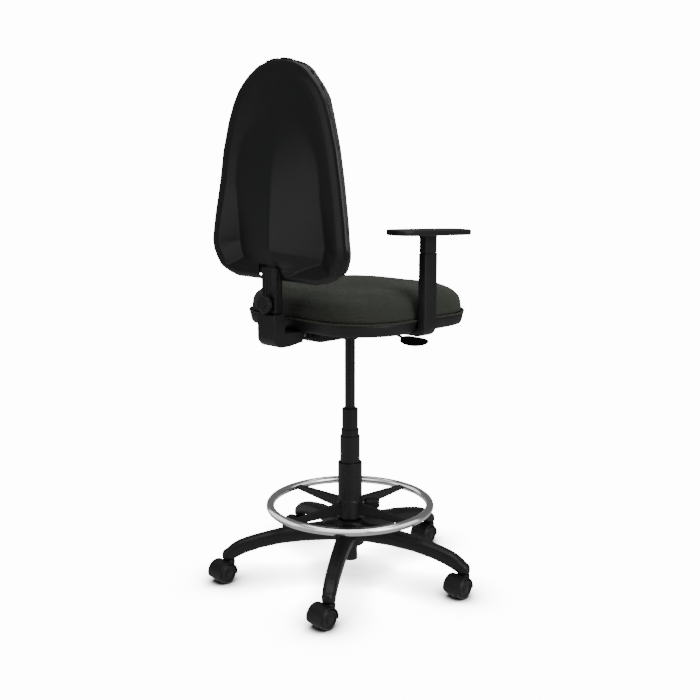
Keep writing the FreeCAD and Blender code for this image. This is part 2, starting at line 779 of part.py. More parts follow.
def mechanism_housing():
    """Folded channel under a flange, with the cylinder's socket and the hinge ears."""
    body = new_body("mechanism_housing")
    top = dim.pan_bottom
    half = dim.housing_half_width
    wall = dim.housing_wall
    middle = (dim.housing_front + dim.housing_rear) / 2
    length = dim.housing_rear - dim.housing_front
    channel = sketch_on(body, "XY_Plane", dim.housing_bottom)
    draw_rounded(channel, 0, middle, half * 2, length, lift(12))
    pad(body, channel, top - dim.housing_bottom)
    flange = sketch_on(body, "XY_Plane", top - dim.flange_thickness)
    draw_rounded(flange, 0, middle, dim.flange_half_width * 2, length, lift(12))
    pad(body, flange, dim.flange_thickness)
    inside = sketch_on(body, "XY_Plane", dim.housing_bottom + wall)
    draw_rounded(inside, 0, middle, (half - wall) * 2, length - wall * 2, lift(9))
    pocket(body, inside, top - dim.housing_bottom - wall, backwards=True)
    socket = sketch_on(body, "XY_Plane", dim.socket_bottom)
    draw_circle(socket, 0, 0, dim.socket_radius)
    pad(body, socket, dim.cylinder_top - 4 - dim.socket_bottom)
    for side in (1, -1):
        ear = sketch_on(body, "YZ_Plane", side * dim.ear_half_gap)
        low = dim.hinge_level - dim.ear_radius
        high = dim.hinge_level + dim.ear_radius
        draw_rounded(ear, (dim.hinge_offset + dim.housing_rear - wall) / 2, dim.hinge_level,
                     dim.hinge_offset - dim.housing_rear + wall + dim.ear_radius * 2,
                     high - low, dim.ear_radius - 0.5)
        pad(body, ear, dim.ear_thickness, backwards=side < 0)
    bore = sketch_on(body, "XY_Plane", dim.socket_bottom)
    draw_circle(bore, 0, 0, dim.cylinder_radius)
    pocket(body, bore, dim.cylinder_top - dim.socket_bottom, backwards=True)
    lever_ears(body)
    pin = sketch_on(body, "YZ_Plane")
    draw_circle(pin, dim.hinge_offset, dim.hinge_level, dim.hinge_pin_radius)
    pocket(body, pin, half * 2, both_ways=True)
    slot = sketch_on(body, "YZ_Plane", -(half - wall - 3))
    draw_outline(slot, [(-28, dim.lever_level - 12), (12, dim.lever_level - 12),
                        (12, dim.pan_bottom - dim.flange_thickness),
                        (-28, dim.pan_bottom - dim.flange_thickness)])
    pocket(body, slot, wall + 8)
    holes = sketch_on(body, "XY_Plane", top - dim.flange_thickness - 1)
    for x, y in flange_screw_spots():
        draw_circle(holes, x, y, dim.screw_radius)
    pocket(body, holes, dim.flange_thickness + 2, backwards=True)
    place(body)


def lever_ears(body):
    """Two ears on the channel's floor that hold the gas lever's pin."""
    floor_top = dim.housing_bottom + dim.housing_wall
    offset = dim.lever_barrel_length / 2 + dim.lever_ear_gap + dim.lever_ear_thickness / 2
    for side in (1, -1):
        ear = sketch_on(body, "XY_Plane", floor_top - 1)
        draw_rounded(ear, dim.lever_pivot, side * offset, dim.lever_barrel_radius * 2 + 2,
                     dim.lever_ear_thickness, lift(1))
        pad(body, ear, dim.lever_level + dim.lever_barrel_radius - floor_top + 2)
    pivot = sketch_on(body, "XZ_Plane")
    draw_circle(pivot, dim.lever_pivot, dim.lever_level, dim.lever_pin_radius)
    pocket(body, pivot, (offset + dim.lever_ear_thickness) * 2, both_ways=True)


def tilt_hinge_pin():
    half = dim.ear_half_gap + dim.ear_thickness + 1
    turned_part("tilt_hinge_pin", rod_outline(dim.hinge_pin_radius, -half, half),
                y=dim.hinge_offset, z=dim.hinge_level, axis=(0, 1, 0), degrees=90)


def gas_lever():
    """Bent wire on a cross pin, over the valve's pin, with a leaf-shaped paddle on its end."""
    spots = [
        (lift(4), lift(0), dim.lever_level),
        (dim.lever_pivot - 10, lift(0), dim.lever_level),
        (dim.paddle_start + 27, dim.lever_side_shift, dim.paddle_level + 12),
        (dim.paddle_start - 12, dim.lever_side_shift, dim.paddle_level),
    ]
    points = [FreeCAD.Vector(x.value, y.value, z.value) for x, y, z in spots]
    radius = dim.lever_rod_radius.value
    wire = Part.makeSphere(radius, points[0])
    for start, end in zip(points, points[1:]):
        along = end - start
        wire = wire.fuse(Part.makeCylinder(radius, along.Length, start, along))
        wire = wire.fuse(Part.makeSphere(radius, end))
    across = FreeCAD.Vector(0, 1, 0)
    half = dim.lever_barrel_length.value / 2
    pivot = FreeCAD.Vector(dim.lever_pivot.value, 0, dim.lever_level.value)
    barrel = Part.makeCylinder(dim.lever_barrel_radius.value, half * 2, pivot - across * half,
                               across)
    bore = Part.makeCylinder(dim.lever_pin_radius.value + dim.running_gap.value, half * 2 + 2,
                             pivot - across * (half + 1), across)
    rod = doc.addObject("Part::Feature", "gas_lever")
    rod.Shape = wire.fuse(barrel).cut(bore).removeSplitter()
    reach = dim.lever_barrel_length / 2 + dim.lever_ear_gap + dim.lever_ear_thickness
    turned_part("lever_pin", rod_outline(dim.lever_pin_radius, -reach, reach),
                x=dim.lever_pivot, z=dim.lever_level, axis=(1, 0, 0), degrees=90)

    body = new_body("lever_handle_blank")
    PARTS.remove(body)
    sketch = sketch_on(body, "XY_Plane", dim.paddle_level - dim.paddle_thickness / 2)
    draw_rounded(sketch, dim.paddle_start - dim.paddle_length / 2, dim.lever_side_shift,
                 dim.paddle_length, dim.paddle_width, dim.paddle_width / 2 - 0.5)
    pad(body, sketch, dim.paddle_thickness)
    handle = combine("Cut", "lever_handle", body, rod)
    PARTS.extend([rod, handle])


# ---------------------------------------------------------------- back bar and boot

def back_bar():
    """Steel strip: an eye on the hinge pin, a run back and a long rise."""
    body = new_body("back_bar")
    half = dim.bar_thickness / 2
    level = dim.hinge_level
    rear = dim.bar_centre + half
    front = dim.bar_centre - half
    strip = sketch_on(body, "YZ_Plane")
    draw_outline(strip, [
        (dim.hinge_offset, level - half), (rear - 6, level - half), (rear, level - half + 6),
        (rear, dim.bar_top), (front, dim.bar_top), (front, level + half),
        (dim.hinge_offset, level + half)])
    pad(body, strip, dim.bar_width, both_ways=True)
    eye = sketch_on(body, "YZ_Plane")
    draw_circle(eye, dim.hinge_offset, level, dim.ear_radius - 0.5)
    pad(body, eye, dim.bar_width, both_ways=True)
    bore = sketch_on(body, "YZ_Plane")
    draw_circle(bore, dim.hinge_offset, level, dim.hinge_pin_radius + dim.running_gap)
    pocket(body, bore, dim.bar_width * 2, both_ways=True)


def back_boot():
    """Moulded cover over the bar's bend, open at its rim and at its front end."""
    outline = [
        (dim.boot_leg_front, dim.boot_bottom + 6), (dim.boot_leg_front + 40, dim.boot_bottom),
        (dim.boot_rear, dim.boot_bottom), (dim.boot_rear, dim.boot_rim),
        (dim.boot_front, dim.boot_rim), (dim.boot_front, dim.boot_leg_top),
        (dim.boot_leg_front, dim.boot_leg_top)]
    body = new_body("back_boot")
    outer = sketch_on(body, "YZ_Plane")
    draw_outline(outer, outline)
    pad(body, outer, dim.boot_half_width * 2, both_ways=True)
    round_edges(body, dim.boot_corner, lambda box: (
        box.ZMax < dim.boot_bottom.value + 0.1 and box.YMin > dim.boot_rear.value - 0.1))
    half = dim.bar_thickness / 2
    wall = dim.boot_wall
    inner = sketch_on(body, "YZ_Plane")
    draw_outline(inner, [
        (dim.boot_leg_front - 2, dim.hinge_level - half),
        (dim.boot_rear - wall - 9, dim.hinge_level - half),
        (dim.boot_rear - wall, dim.hinge_level + 10), (dim.boot_rear - wall, dim.boot_rim + 1),
        (dim.boot_front + wall, dim.boot_rim + 1), (dim.boot_front + wall, dim.hinge_level + half),
        (dim.boot_leg_front - 2, dim.hinge_level + half)])
    pocket(body, inner, dim.bar_width, both_ways=True)


# ---------------------------------------------------------------- backrest

def upright_cover():
    """Sheath that slides on the bar, with a nut boss in front and a plate inside the shell."""
    body = new_body("upright_cover")
    bottom = dim.boot_rim + dim.upright_gap
    depth = dim.upright_rear - dim.upright_front
    middle = (dim.upright_rear + dim.upright_front) / 2
    sheath = sketch_on(body, "XY_Plane", bottom)
    draw_rounded(sheath, 0, middle, dim.upright_half_width * 2, depth, lift(3))
    pad(body, sheath, dim.notch_top - 1 - bottom)
    plane = dim.back_wide_mid + dim.back_board_rear
    plate_rear = plane + dim.carrier_plate_thickness
    bar_rear = dim.bar_centre + dim.bar_thickness / 2
    carrier = sketch_on(body, "XY_Plane", dim.notch_top - 12)
    draw_rounded(carrier, 0, (plane + bar_rear + dim.carrier_wall) / 2, dim.carrier_half_width * 2,
                 bar_rear + dim.carrier_wall - plane, lift(1))
    pad(body, carrier, dim.carrier_top - dim.notch_top + 12)
    plate = sketch_on(body, "XY_Plane", dim.notch_top - 12)
    draw_rounded(plate, 0, (plane + plate_rear) / 2, dim.carrier_plate_half_width * 2,
                 dim.carrier_plate_thickness, lift(1))
    pad(body, plate, dim.carrier_top - dim.notch_top + 12)
    boss = sketch_on(body, "XZ_Plane", -dim.upright_front - 2)
    draw_rounded(boss, 0, dim.back_knob_level, dim.boss_half_width * 2, dim.boss_height,
                 dim.boss_half_width - 0.5)
    pad(body, boss, dim.boss_depth + 2)
    slot = sketch_on(body, "XY_Plane", bottom - 1)
    draw_rounded(slot, 0, dim.bar_centre, dim.bar_width + dim.bar_clearance * 2,
                 dim.bar_thickness + dim.bar_clearance * 2, dim.bar_clearance)
    pocket(body, slot, dim.bar_top, backwards=True)
    screw = sketch_on(body, "XZ_Plane", -dim.bar_centre)
    draw_circle(screw, 0, dim.back_knob_level, dim.knob_screw_radius + dim.running_gap)
    pocket(body, screw, depth)
    holes = sketch_on(body, "XZ_Plane", -plate_rear - 1)
    for x, z in back_screw_spots():
        draw_circle(holes, x, z, dim.screw_radius)
    pocket(body, holes, dim.carrier_plate_thickness + 2, backwards=True)


def back_screw_spots():
    for x in (-1, 1):
        for z in (8, 30):
            yield x * (dim.carrier_plate_half_width - 12), dim.notch_top + z


def back_screws():
    body = new_body("back_screws")
    plate_rear = dim.back_wide_mid + dim.back_board_rear + dim.carrier_plate_thickness
    for radius, start, length in ((dim.screw_radius + 2.5, lift(2.5), lift(2.5)),
                                  (dim.screw_radius, lift(0), dim.carrier_plate_thickness + 8)):
        sketch = sketch_on(body, "XZ_Plane", -plate_rear - start)
        for x, z in back_screw_spots():
            draw_circle(sketch, x, z, radius)
        pad(body, sketch, length)


def back_knob():
    """Round hand knob behind the upright and the screw that pinches the bar."""
    face = dim.upright_rear + dim.back_knob_gap
    rear = face + dim.back_knob_thickness
    tip = dim.bar_centre + dim.bar_thickness / 2 + 0.5
    at_knob = {"z": dim.back_knob_level, "axis": (1, 0, 0), "degrees": -90}
    turned_part("back_knob_screw", rod_outline(dim.knob_screw_radius, tip, face + 6), **at_knob)
    radius = dim.back_knob_radius
    turned_part("back_knob", [
        (dim.knob_screw_radius, face), (radius - 6, face), (radius, face + 3),
        (radius, rear - 3), (radius - 3, rear), (0, rear), (0, face + 6),
        (dim.knob_screw_radius, face + 6)], **at_knob)


def loft(body, kind, outlines):
    """Loft through level outlines, each a height and its corner points."""
    sketches = []
    for level, points in outlines:
        sketch = sketch_on(body, "XY_Plane", level)
        draw_outline(sketch, points)
        sketches.append(sketch)
    made = body.newObject("PartDesign::" + kind, body.Name + "_loft")
    made.Profile = sketches[0]
    made.Sections = sketches[1:]
    made.Ruled = True
    body.Tip = made
    doc.recompute()
    return made


def along_back(level, part):
    """A station size read off at any level, straight between its neighbours."""
    names = [name for name, *_ in BACK_STATIONS]
    for low, high in zip(names, names[1:]):
        bottom = getattr(dim, low + "_level")
        top = getattr(dim, high + "_level")
        if level.value <= top.value or high == names[-1]:
            start = getattr(dim, f"{low}_{part}")
            end = getattr(dim, f"{high}_{part}")
            return start + (end - start) * ((level - bottom) / (top - bottom))
    return None


def stations(margin):
    """Stations of an outline that stands a margin inside the cushion's."""
    bottom = dim.back_foot_level + margin
    top = dim.back_crown_level - margin
    inner = [getattr(dim, name + "_level") for name, *_ in BACK_STATIONS[1:-1]]
    inner = [level for level in inner
             if bottom.value + STATION_SPACING < level.value < top.value - STATION_SPACING]
    for level in [bottom] + inner + [top]:
        half = along_back(level, "half") - margin
        yield (level, half, along_back(level, "mid"), along_back(level, "spine"),
               along_back(level, "crease"))


def shell_section(half, middle, spine, crease, trim, front):
    """Rim, crease and spine behind; straight across in front."""
    rim = middle + dim.shell_rim_rear - trim
    fold = half * CREASE_SHARE
    return [(-half, front), (half, front), (half, rim), (fold, middle + crease - trim + 4),
            (0, middle + spine - trim), (-fold, middle + crease - trim + 4), (-half, rim)]


def backrest():
    """Cushion wrapped round a board, and a creased shell that closes its rear."""
    joint = dim.back_board_rear

    def slab(margin, front, rear):
        for level, half, middle, _, _ in stations(margin):
            yield level, [(-half, middle + front), (half, middle + front),
                          (half, middle + rear), (-half, middle + rear)]

    cushion = new_body("back_cushion")
    thick = dim.back_cushion_depth
    bevel = lift(18)
    outlines = []
    for level, half, middle, _, _ in stations(lift(0)):
        outlines.append((level, [
            (-half + bevel, middle - thick), (half - bevel, middle - thick),
            (half, middle - thick + bevel * 1.5), (half, middle - bevel),
            (half - bevel * 0.5, middle + joint), (-half + bevel * 0.5, middle + joint),
            (-half, middle - bevel), (-half, middle - thick + bevel * 1.5)]))
    loft(cushion, "AdditiveLoft", outlines)
    margin = dim.back_board_margin
    front = joint - dim.back_board_thickness
    loft(cushion, "SubtractiveLoft", list(slab(margin, front, joint)))
    board = new_body("back_board")
    loft(board, "AdditiveLoft", list(slab(margin, front, joint)))
    holes = sketch_on(board, "XZ_Plane",
                      -(dim.back_wide_mid + joint + dim.carrier_plate_thickness))
    for x, z in back_screw_spots():
        draw_circle(holes, x, z, dim.screw_radius)
    pocket(board, holes, dim.carrier_plate_thickness + 8, backwards=True)

    shell = new_body("back_shell")
    trim = dim.shell_margin
    wall = dim.shell_wall
    outer = [(level, shell_section(half, middle, spine, crease, lift(0), middle + joint))
             for level, half, middle, spine, crease in stations(trim)]
    loft(shell, "AdditiveLoft", outer)
    inner = [(level, shell_section(half, middle, spine, crease, wall, middle + joint - 1))
             for level, half, middle, spine, crease in stations(trim + wall)]
    loft(shell, "SubtractiveLoft", inner)
    notch = sketch_on(shell, "XY_Plane", dim.back_foot_level)
    front_plane = dim.back_wide_mid + joint + 2
    draw_rounded(notch, 0, front_plane + 40, dim.notch_half_width * 2, lift(80), lift(3))
    pocket(shell, notch, dim.notch_top - dim.back_foot_level, backwards=True)


# ---------------------------------------------------------------- arms

def arm(name, side):
    """Sleeve bent up from its foot, the post that slides in it, its button and the pad."""
    beside_seat = dim.seat_width / 2 + dim.arm_gap
    middle = side * (beside_seat + dim.arm_thickness / 2)
    outer = side * (beside_seat + dim.arm_thickness)
    inner = side * beside_seat
    foot = side * dim.arm_foot_inner
    depth = dim.arm_depth

    sleeve = new_body(f"arm_sleeve_{name}")
    shape = sketch_on(sleeve, "XZ_Plane")
    draw_outline(shape, [
        (foot, dim.arm_foot_bottom), (outer, dim.arm_foot_bottom), (outer, dim.arm_sleeve_top),
        (inner, dim.arm_sleeve_top), (inner, dim.pan_bottom), (foot, dim.pan_bottom)])
    pad(sleeve, shape, depth, both_ways=True)
    round_edges(sleeve, dim.arm_bend_radius, lambda box: (
        box.ZMax < dim.arm_foot_bottom.value + 0.1
        and min(abs(box.XMin), abs(box.XMax)) > abs(outer.value) - 0.1))
    bore = sketch_on(sleeve, "XY_Plane", dim.sleeve_bore_bottom)
    bore_x = dim.arm_thickness - dim.arm_wall * 2
    bore_y = depth - dim.arm_wall * 2
    draw_rounded(bore, middle, 0, bore_x, bore_y, lift(2))
    pocket(sleeve, bore, dim.arm_sleeve_top, backwards=True)
    hole = sketch_on(sleeve, "XZ_Plane", depth / 2 - dim.arm_wall - 1)
    draw_circle(hole, middle, dim.arm_button_level, dim.arm_button_radius + dim.running_gap)
    pocket(sleeve, hole, dim.arm_wall + 4, backwards=True)
    head_depth = dim.pan_bottom - dim.flange_thickness - dim.arm_foot_bottom
    for radius, drilled in ((dim.screw_radius, dim.pan_bottom - dim.arm_foot_bottom),
                            (dim.screw_radius + 3 + dim.arm_post_clearance, head_depth)):
        holes = sketch_on(sleeve, "XY_Plane", dim.arm_foot_bottom)
        for x, y in arm_screw_spots(side):
            draw_circle(holes, x, y, radius)
        pocket(sleeve, holes, drilled, backwards=True)

    post = new_body(f"arm_post_{name}")
    gap = dim.arm_post_clearance * 2
    column = sketch_on(post, "XY_Plane", dim.arm_post_bottom)
    draw_rounded(column, middle, 0, bore_x - gap, bore_y - gap, lift(1.8))
    pad(post, column, dim.pad_bottom - dim.arm_post_bottom)
    head = sketch_on(post, "XY_Plane", dim.arm_sleeve_top + dim.arm_head_gap)
    draw_rounded(head, middle, 0, dim.arm_head_thickness, dim.arm_head_depth, lift(2.5))
    pad(post, head, dim.pad_bottom - dim.arm_sleeve_top - dim.arm_head_gap)
    groove = sketch_on(post, "XY_Plane", dim.arm_post_bottom)
    front = -(bore_y / 2)
    half = dim.groove_half_width
    draw_outline(groove, [(middle - half, front - 2), (middle + half, front - 2),
                          (middle + half, front + dim.groove_depth),
                          (middle - half, front + dim.groove_depth)])
    pocket(post, groove, dim.arm_sleeve_top - dim.arm_post_bottom, backwards=True)

    turned_part(f"arm_button_{name}", rod_outline(
        dim.arm_button_radius, depth / 2 - dim.arm_wall + 0.2, depth / 2 + dim.arm_button_proud),
        x=middle, z=dim.arm_button_level, axis=(1, 0, 0), degrees=90)

    cap = new_body(f"arm_pad_{name}")
    top = sketch_on(cap, "XY_Plane", dim.pad_bottom)
    draw_rounded(top, side * beside_seat + side * 11, dim.pad_shift, dim.pad_width,
                 dim.pad_length, dim.pad_width / 2 - 0.5)
    pad(cap, top, dim.pad_thickness)
    round_edges(cap, dim.pad_edge, lambda box: box.ZMax - box.ZMin < 0.1)


# ---------------------------------------------------------------- assembly

def put_back_stations():
    for name, *numbers in BACK_STATIONS:
        for part, number in zip(("level", "half", "mid", "spine", "crease"), numbers):
            dim.put(f"{name}_{part}", number)
    doc.recompute()


def build():
    put_back_stations()
    for number, x, y in castor_spots():
        castor_hood(number, x, y)
        castor_axle(number, x, y)
        castor_wheel(f"castor_wheel_{number}_left", x, y, 1)
        castor_wheel(f"castor_wheel_{number}_right", x, y, -1)
    castor_stems()
    base_star()
    column_tube()
    guide_bush()
    column_inner_parts()
    gas_cylinder()
    footring_ring_and_clamp()
    seat()
    mechanism_housing()
    tilt_hinge_pin()
    gas_lever()
    back_bar()
    back_boot()
    upright_cover()
    back_screws()
    back_knob()
    backrest()
    arm("left", 1)
    arm("right", -1)


def check_and_write():
    doc.recompute()
    for item in doc.Objects:
        if "Invalid" in item.State or "Error" in item.State:
            raise RuntimeError(f"{item.Label} failed to build")
    for item in PARTS:
        if item.Shape.isNull() or not item.Shape.isValid():
            raise RuntimeError(f"{item.Label} has no valid shape")
    os.makedirs("parts", exist_ok=True)
    for item in PARTS:
        item.Shape.exportStep(f"parts/{item.Label}.step")
        print(item.Label, len(item.Shape.Solids), round(item.Shape.Volume))


build()
check_and_write()
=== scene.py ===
"""Drafting chair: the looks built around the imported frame, in metres, facing -Y."""
import math

import bmesh
import bpy
import numpy as np
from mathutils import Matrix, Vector


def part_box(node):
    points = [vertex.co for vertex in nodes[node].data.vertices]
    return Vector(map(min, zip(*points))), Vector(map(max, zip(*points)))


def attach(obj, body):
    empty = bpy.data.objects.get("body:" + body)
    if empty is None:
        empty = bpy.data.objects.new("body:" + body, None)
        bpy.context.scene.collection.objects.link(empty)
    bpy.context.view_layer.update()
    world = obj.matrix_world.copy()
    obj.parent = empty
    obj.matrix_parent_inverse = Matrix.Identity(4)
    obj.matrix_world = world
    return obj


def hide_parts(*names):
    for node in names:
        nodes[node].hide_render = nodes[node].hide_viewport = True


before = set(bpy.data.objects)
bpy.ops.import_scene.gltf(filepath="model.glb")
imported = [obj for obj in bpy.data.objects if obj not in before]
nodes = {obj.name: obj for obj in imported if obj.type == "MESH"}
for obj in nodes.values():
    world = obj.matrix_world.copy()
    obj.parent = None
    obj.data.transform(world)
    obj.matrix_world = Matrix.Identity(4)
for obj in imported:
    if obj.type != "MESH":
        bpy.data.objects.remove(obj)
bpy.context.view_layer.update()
scene = bpy.context.scene


# ---------------------------------------------------------------- mesh helpers
def add_mesh(name, points, faces, sharp=35):
    """A new mesh object with outward normals, smooth shaded up to the sharp angle."""
    mesh = bpy.data.meshes.new(name)
    mesh.from_pydata([tuple(p) for p in points], [], faces)
    obj = bpy.data.objects.new(name, mesh)
    scene.collection.objects.link(obj)
    shade(obj, sharp)
    return obj


def shade(obj, sharp=35):
    """Consistent normals and smooth shading, with edges over the sharp angle kept."""
    work = bmesh.new()
    work.from_mesh(obj.data)
    bmesh.ops.remove_doubles(work, verts=work.verts, dist=1e-6)
    bmesh.ops.recalc_face_normals(work, faces=work.faces)
    work.to_mesh(obj.data)
    work.free()
    obj.data.polygons.foreach_set("use_smooth", [True] * len(obj.data.polygons))
    obj.data.set_sharp_from_angle(angle=math.radians(sharp))


def loft(name, rings, sharp=35):
    """A closed skin through rings of equally many points, with both ends filled."""
    count = len(rings[0])
    points = [p for ring in rings for p in ring]
    faces = []
    for i in range(len(rings) - 1):
        for j in range(count):
            a = i * count + j
            b = i * count + (j + 1) % count
            faces.append((a, b, b + count, a + count))
    faces.append(tuple(range(count))[::-1])
    faces.append(tuple(range(len(points) - count, len(points))))
    return add_mesh(name, points, faces, sharp)


def bake(obj):
    """Puts the object's modifiers into its mesh."""
    graph = bpy.context.evaluated_depsgraph_get()
    mesh = bpy.data.meshes.new_from_object(obj.evaluated_get(graph))
    obj.modifiers.clear()
    obj.data = mesh


def join(name, pieces):
    """One object from several, with their meshes side by side."""
    work = bmesh.new()
    for piece in pieces:
        work.from_mesh(piece.data)
    mesh = bpy.data.meshes.new(name)
    work.to_mesh(mesh)
    work.free()
    for piece in pieces:
        bpy.data.objects.remove(piece)
    obj = bpy.data.objects.new(name, mesh)
    scene.collection.objects.link(obj)
    return obj


def weld(obj, voxel, turns=4, factor=0.5):
    """Grows overlapping solids into one moulded skin with softened corners."""
    remesh = obj.modifiers.new("remesh", "REMESH")
    remesh.mode = "VOXEL"
    remesh.voxel_size = voxel
    remesh.use_smooth_shade = True
    smooth = obj.modifiers.new("smooth", "SMOOTH")
    smooth.iterations = turns
    smooth.factor = factor
    bake(obj)
    shade(obj, 60)
    return obj


def bevelled(obj, width, segments=3, angle=30):
    """Rounds the edges that are sharper than the angle."""
    bevel = obj.modifiers.new("bevel", "BEVEL")
    bevel.width = width
    bevel.segments = segments
    bevel.limit_method = "ANGLE"
    bevel.angle_limit = math.radians(angle)
    bake(obj)
    shade(obj, 40)
    return obj


def rounded_rect(half_x, half_y, radius, steps=6):
    """Corner points of a rounded rectangle, anticlockwise."""
    points = []
    for quarter, (sx, sy) in enumerate(((1, 1), (-1, 1), (-1, -1), (1, -1))):
        for i in range(steps + 1):
            angle = math.pi / 2 * (quarter + i / steps)
            points.append((
                sx * (half_x - radius) + radius * math.cos(angle),
                sy * (half_y - radius) + radius * math.sin(angle),
            ))
    return points


def box_mesh(name, low, high, bevel=0.0015, segments=3):
    """A rounded-edge block between two corners."""
    low, high = Vector(low), Vector(high)
    ring = [(low.x, low.y), (high.x, low.y), (high.x, high.y), (low.x, high.y)]
    obj = loft(name, [[(x, y, z) for x, y in ring] for z in (low.z, high.z)])
    return bevelled(obj, bevel, segments) if bevel else obj


def turned(name, profile, at, axis="Z", segments=64, sharp=35):
    """A turned piece: profile is (radius, height) pairs along the axis, from end to end."""
    rings = []
    for radius, height in profile:
        ring = []
        for i in range(segments):
            angle = 2 * math.pi * i / segments
            u, v = radius * math.cos(angle), radius * math.sin(angle)
            offset = {"Z": (u, v, height), "X": (height, u, v), "Y": (v, height, u)}[axis]
            ring.append(Vector(at) + Vector(offset))
        rings.append(ring)
    return loft(name, rings, sharp)


def tube(name, path, radius, closed=False, sides=16):
    """A round tube along a smooth path, as a mesh."""
    curve = bpy.data.curves.new(name, "CURVE")
    curve.dimensions = "3D"
    curve.bevel_depth = radius
    curve.bevel_resolution = sides // 4
    curve.use_fill_caps = not closed
    spline = curve.splines.new("POLY")
    spline.points.add(len(path) - 1)
    for point, place in zip(spline.points, path):
        point.co = (*place, 1)
    spline.use_cyclic_u = closed
    obj = bpy.data.objects.new(name, curve)
    scene.collection.objects.link(obj)
    graph = bpy.context.evaluated_depsgraph_get()
    mesh = bpy.data.meshes.new_from_object(obj.evaluated_get(graph))
    bpy.data.objects.remove(obj)
    obj = bpy.data.objects.new(name, mesh)
    scene.collection.objects.link(obj)
    shade(obj)
    return obj


def moulded(name, node, voxel, turns=4):
    """A copy of a CAD node's shape with the softened corners of a moulded part."""
    obj = bpy.data.objects.new(name, nodes[node].data.copy())
    scene.collection.objects.link(obj)
    weld(obj, voxel, turns)
    return obj


def table_value(table, at):
    """Reads a table of (place, value) pairs between its rows."""
    places, values = zip(*table)
    return np.interp(at, places, values)


def place(obj, body, slot, material, *replaced):
    """Gives a piece its body, its material and the CAD nodes it stands for; the slot is not used."""
    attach(obj, body)
    if replaced:
        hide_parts(*replaced)
    obj.data.materials.clear()
    obj.data.materials.append(material)
    return obj


# ---------------------------------------------------------------- materials
def add_node(tree, kind, **values):
    """A shader node with its inputs or settings filled in."""
    node = tree.nodes.new("ShaderNode" + kind)
    for key, value in values.items():
        if key in node.inputs:
            node.inputs[key].default_value = value
        else:
            setattr(node, key, value)
    return node


def surface(name, colour, roughness, metallic=0.0, **sockets):
    """A principled material, its tree and its shader."""
    material = bpy.data.materials.new(name)
    material.use_nodes = True
    shader = material.node_tree.nodes["Principled BSDF"]
    shader.inputs["Base Color"].default_value = (*colour, 1)
    shader.inputs["Roughness"].default_value = roughness
    shader.inputs["Metallic"].default_value = metallic
    for key, value in sockets.items():
        shader.inputs[key.replace("_", " ").title().replace("Ior", "IOR")].default_value = value
    return material, material.node_tree, shader


def noise(tree, scale, detail=3.0, rough=0.55):
    """Noise laid through the object's own space."""
    place_at = add_node(tree, "TexCoord")
    texture = add_node(tree, "TexNoise", Scale=scale, Detail=detail, Roughness=rough)
    tree.links.new(place_at.outputs["Object"], texture.inputs["Vector"])
    return texture.outputs["Fac"]


def spread(tree, factor, low, high):
    """Stretches a 0 to 1 factor over a range."""
    node = add_node(tree, "MapRange")
    node.inputs["From Min"].default_value = 0.3
    node.inputs["From Max"].default_value = 0.7
    node.inputs["To Min"].default_value = low
    node.inputs["To Max"].default_value = high
    tree.links.new(factor, node.inputs["Value"])
    return node.outputs["Result"]


def tint(tree, factor, dark, light):
    """A colour between two by a factor."""
    node = add_node(tree, "ValToRGB")
    node.color_ramp.elements[0].position = 0.3
    node.color_ramp.elements[1].position = 0.7
    node.color_ramp.elements[0].color = (*dark, 1)
    node.color_ramp.elements[1].color = (*light, 1)
    tree.links.new(factor, node.inputs["Fac"])
    return node.outputs["Color"]


def bump(tree, shader, height, distance, strength=1.0):
    """Adds a relief to the shader."""
    node = add_node(tree, "Bump", Strength=strength, Distance=distance)
    tree.links.new(height, node.inputs["Height"])
    tree.links.new(node.outputs["Normal"], shader.inputs["Normal"])


def plastic(name, dark, light, roughness, grain=900, relief=0.00005, swing=0.03):
    """Moulded nylon or polypropylene with a fine spark-eroded grain."""
    material, tree, shader = surface(name, light, roughness, ior=1.5)
    broad = noise(tree, 14)
    tree.links.new(tint(tree, broad, dark, light), shader.inputs["Base Color"])
    tree.links.new(spread(tree, noise(tree, 45), roughness - swing, roughness + swing),
                   shader.inputs["Roughness"])
    bump(tree, shader, noise(tree, grain, 2), relief)
    return material


def metal(name, dark, light, roughness, swing=0.05):
    """Plated or bare steel with faint polishing marks."""
    material, tree, shader = surface(name, light, roughness, 1.0)
    tree.links.new(tint(tree, noise(tree, 25), dark, light), shader.inputs["Base Color"])
    tree.links.new(spread(tree, noise(tree, 90), max(0.02, roughness - swing), roughness + swing),
                   shader.inputs["Roughness"])
    bump(tree, shader, noise(tree, 500, 2), 0.00002)
    return material


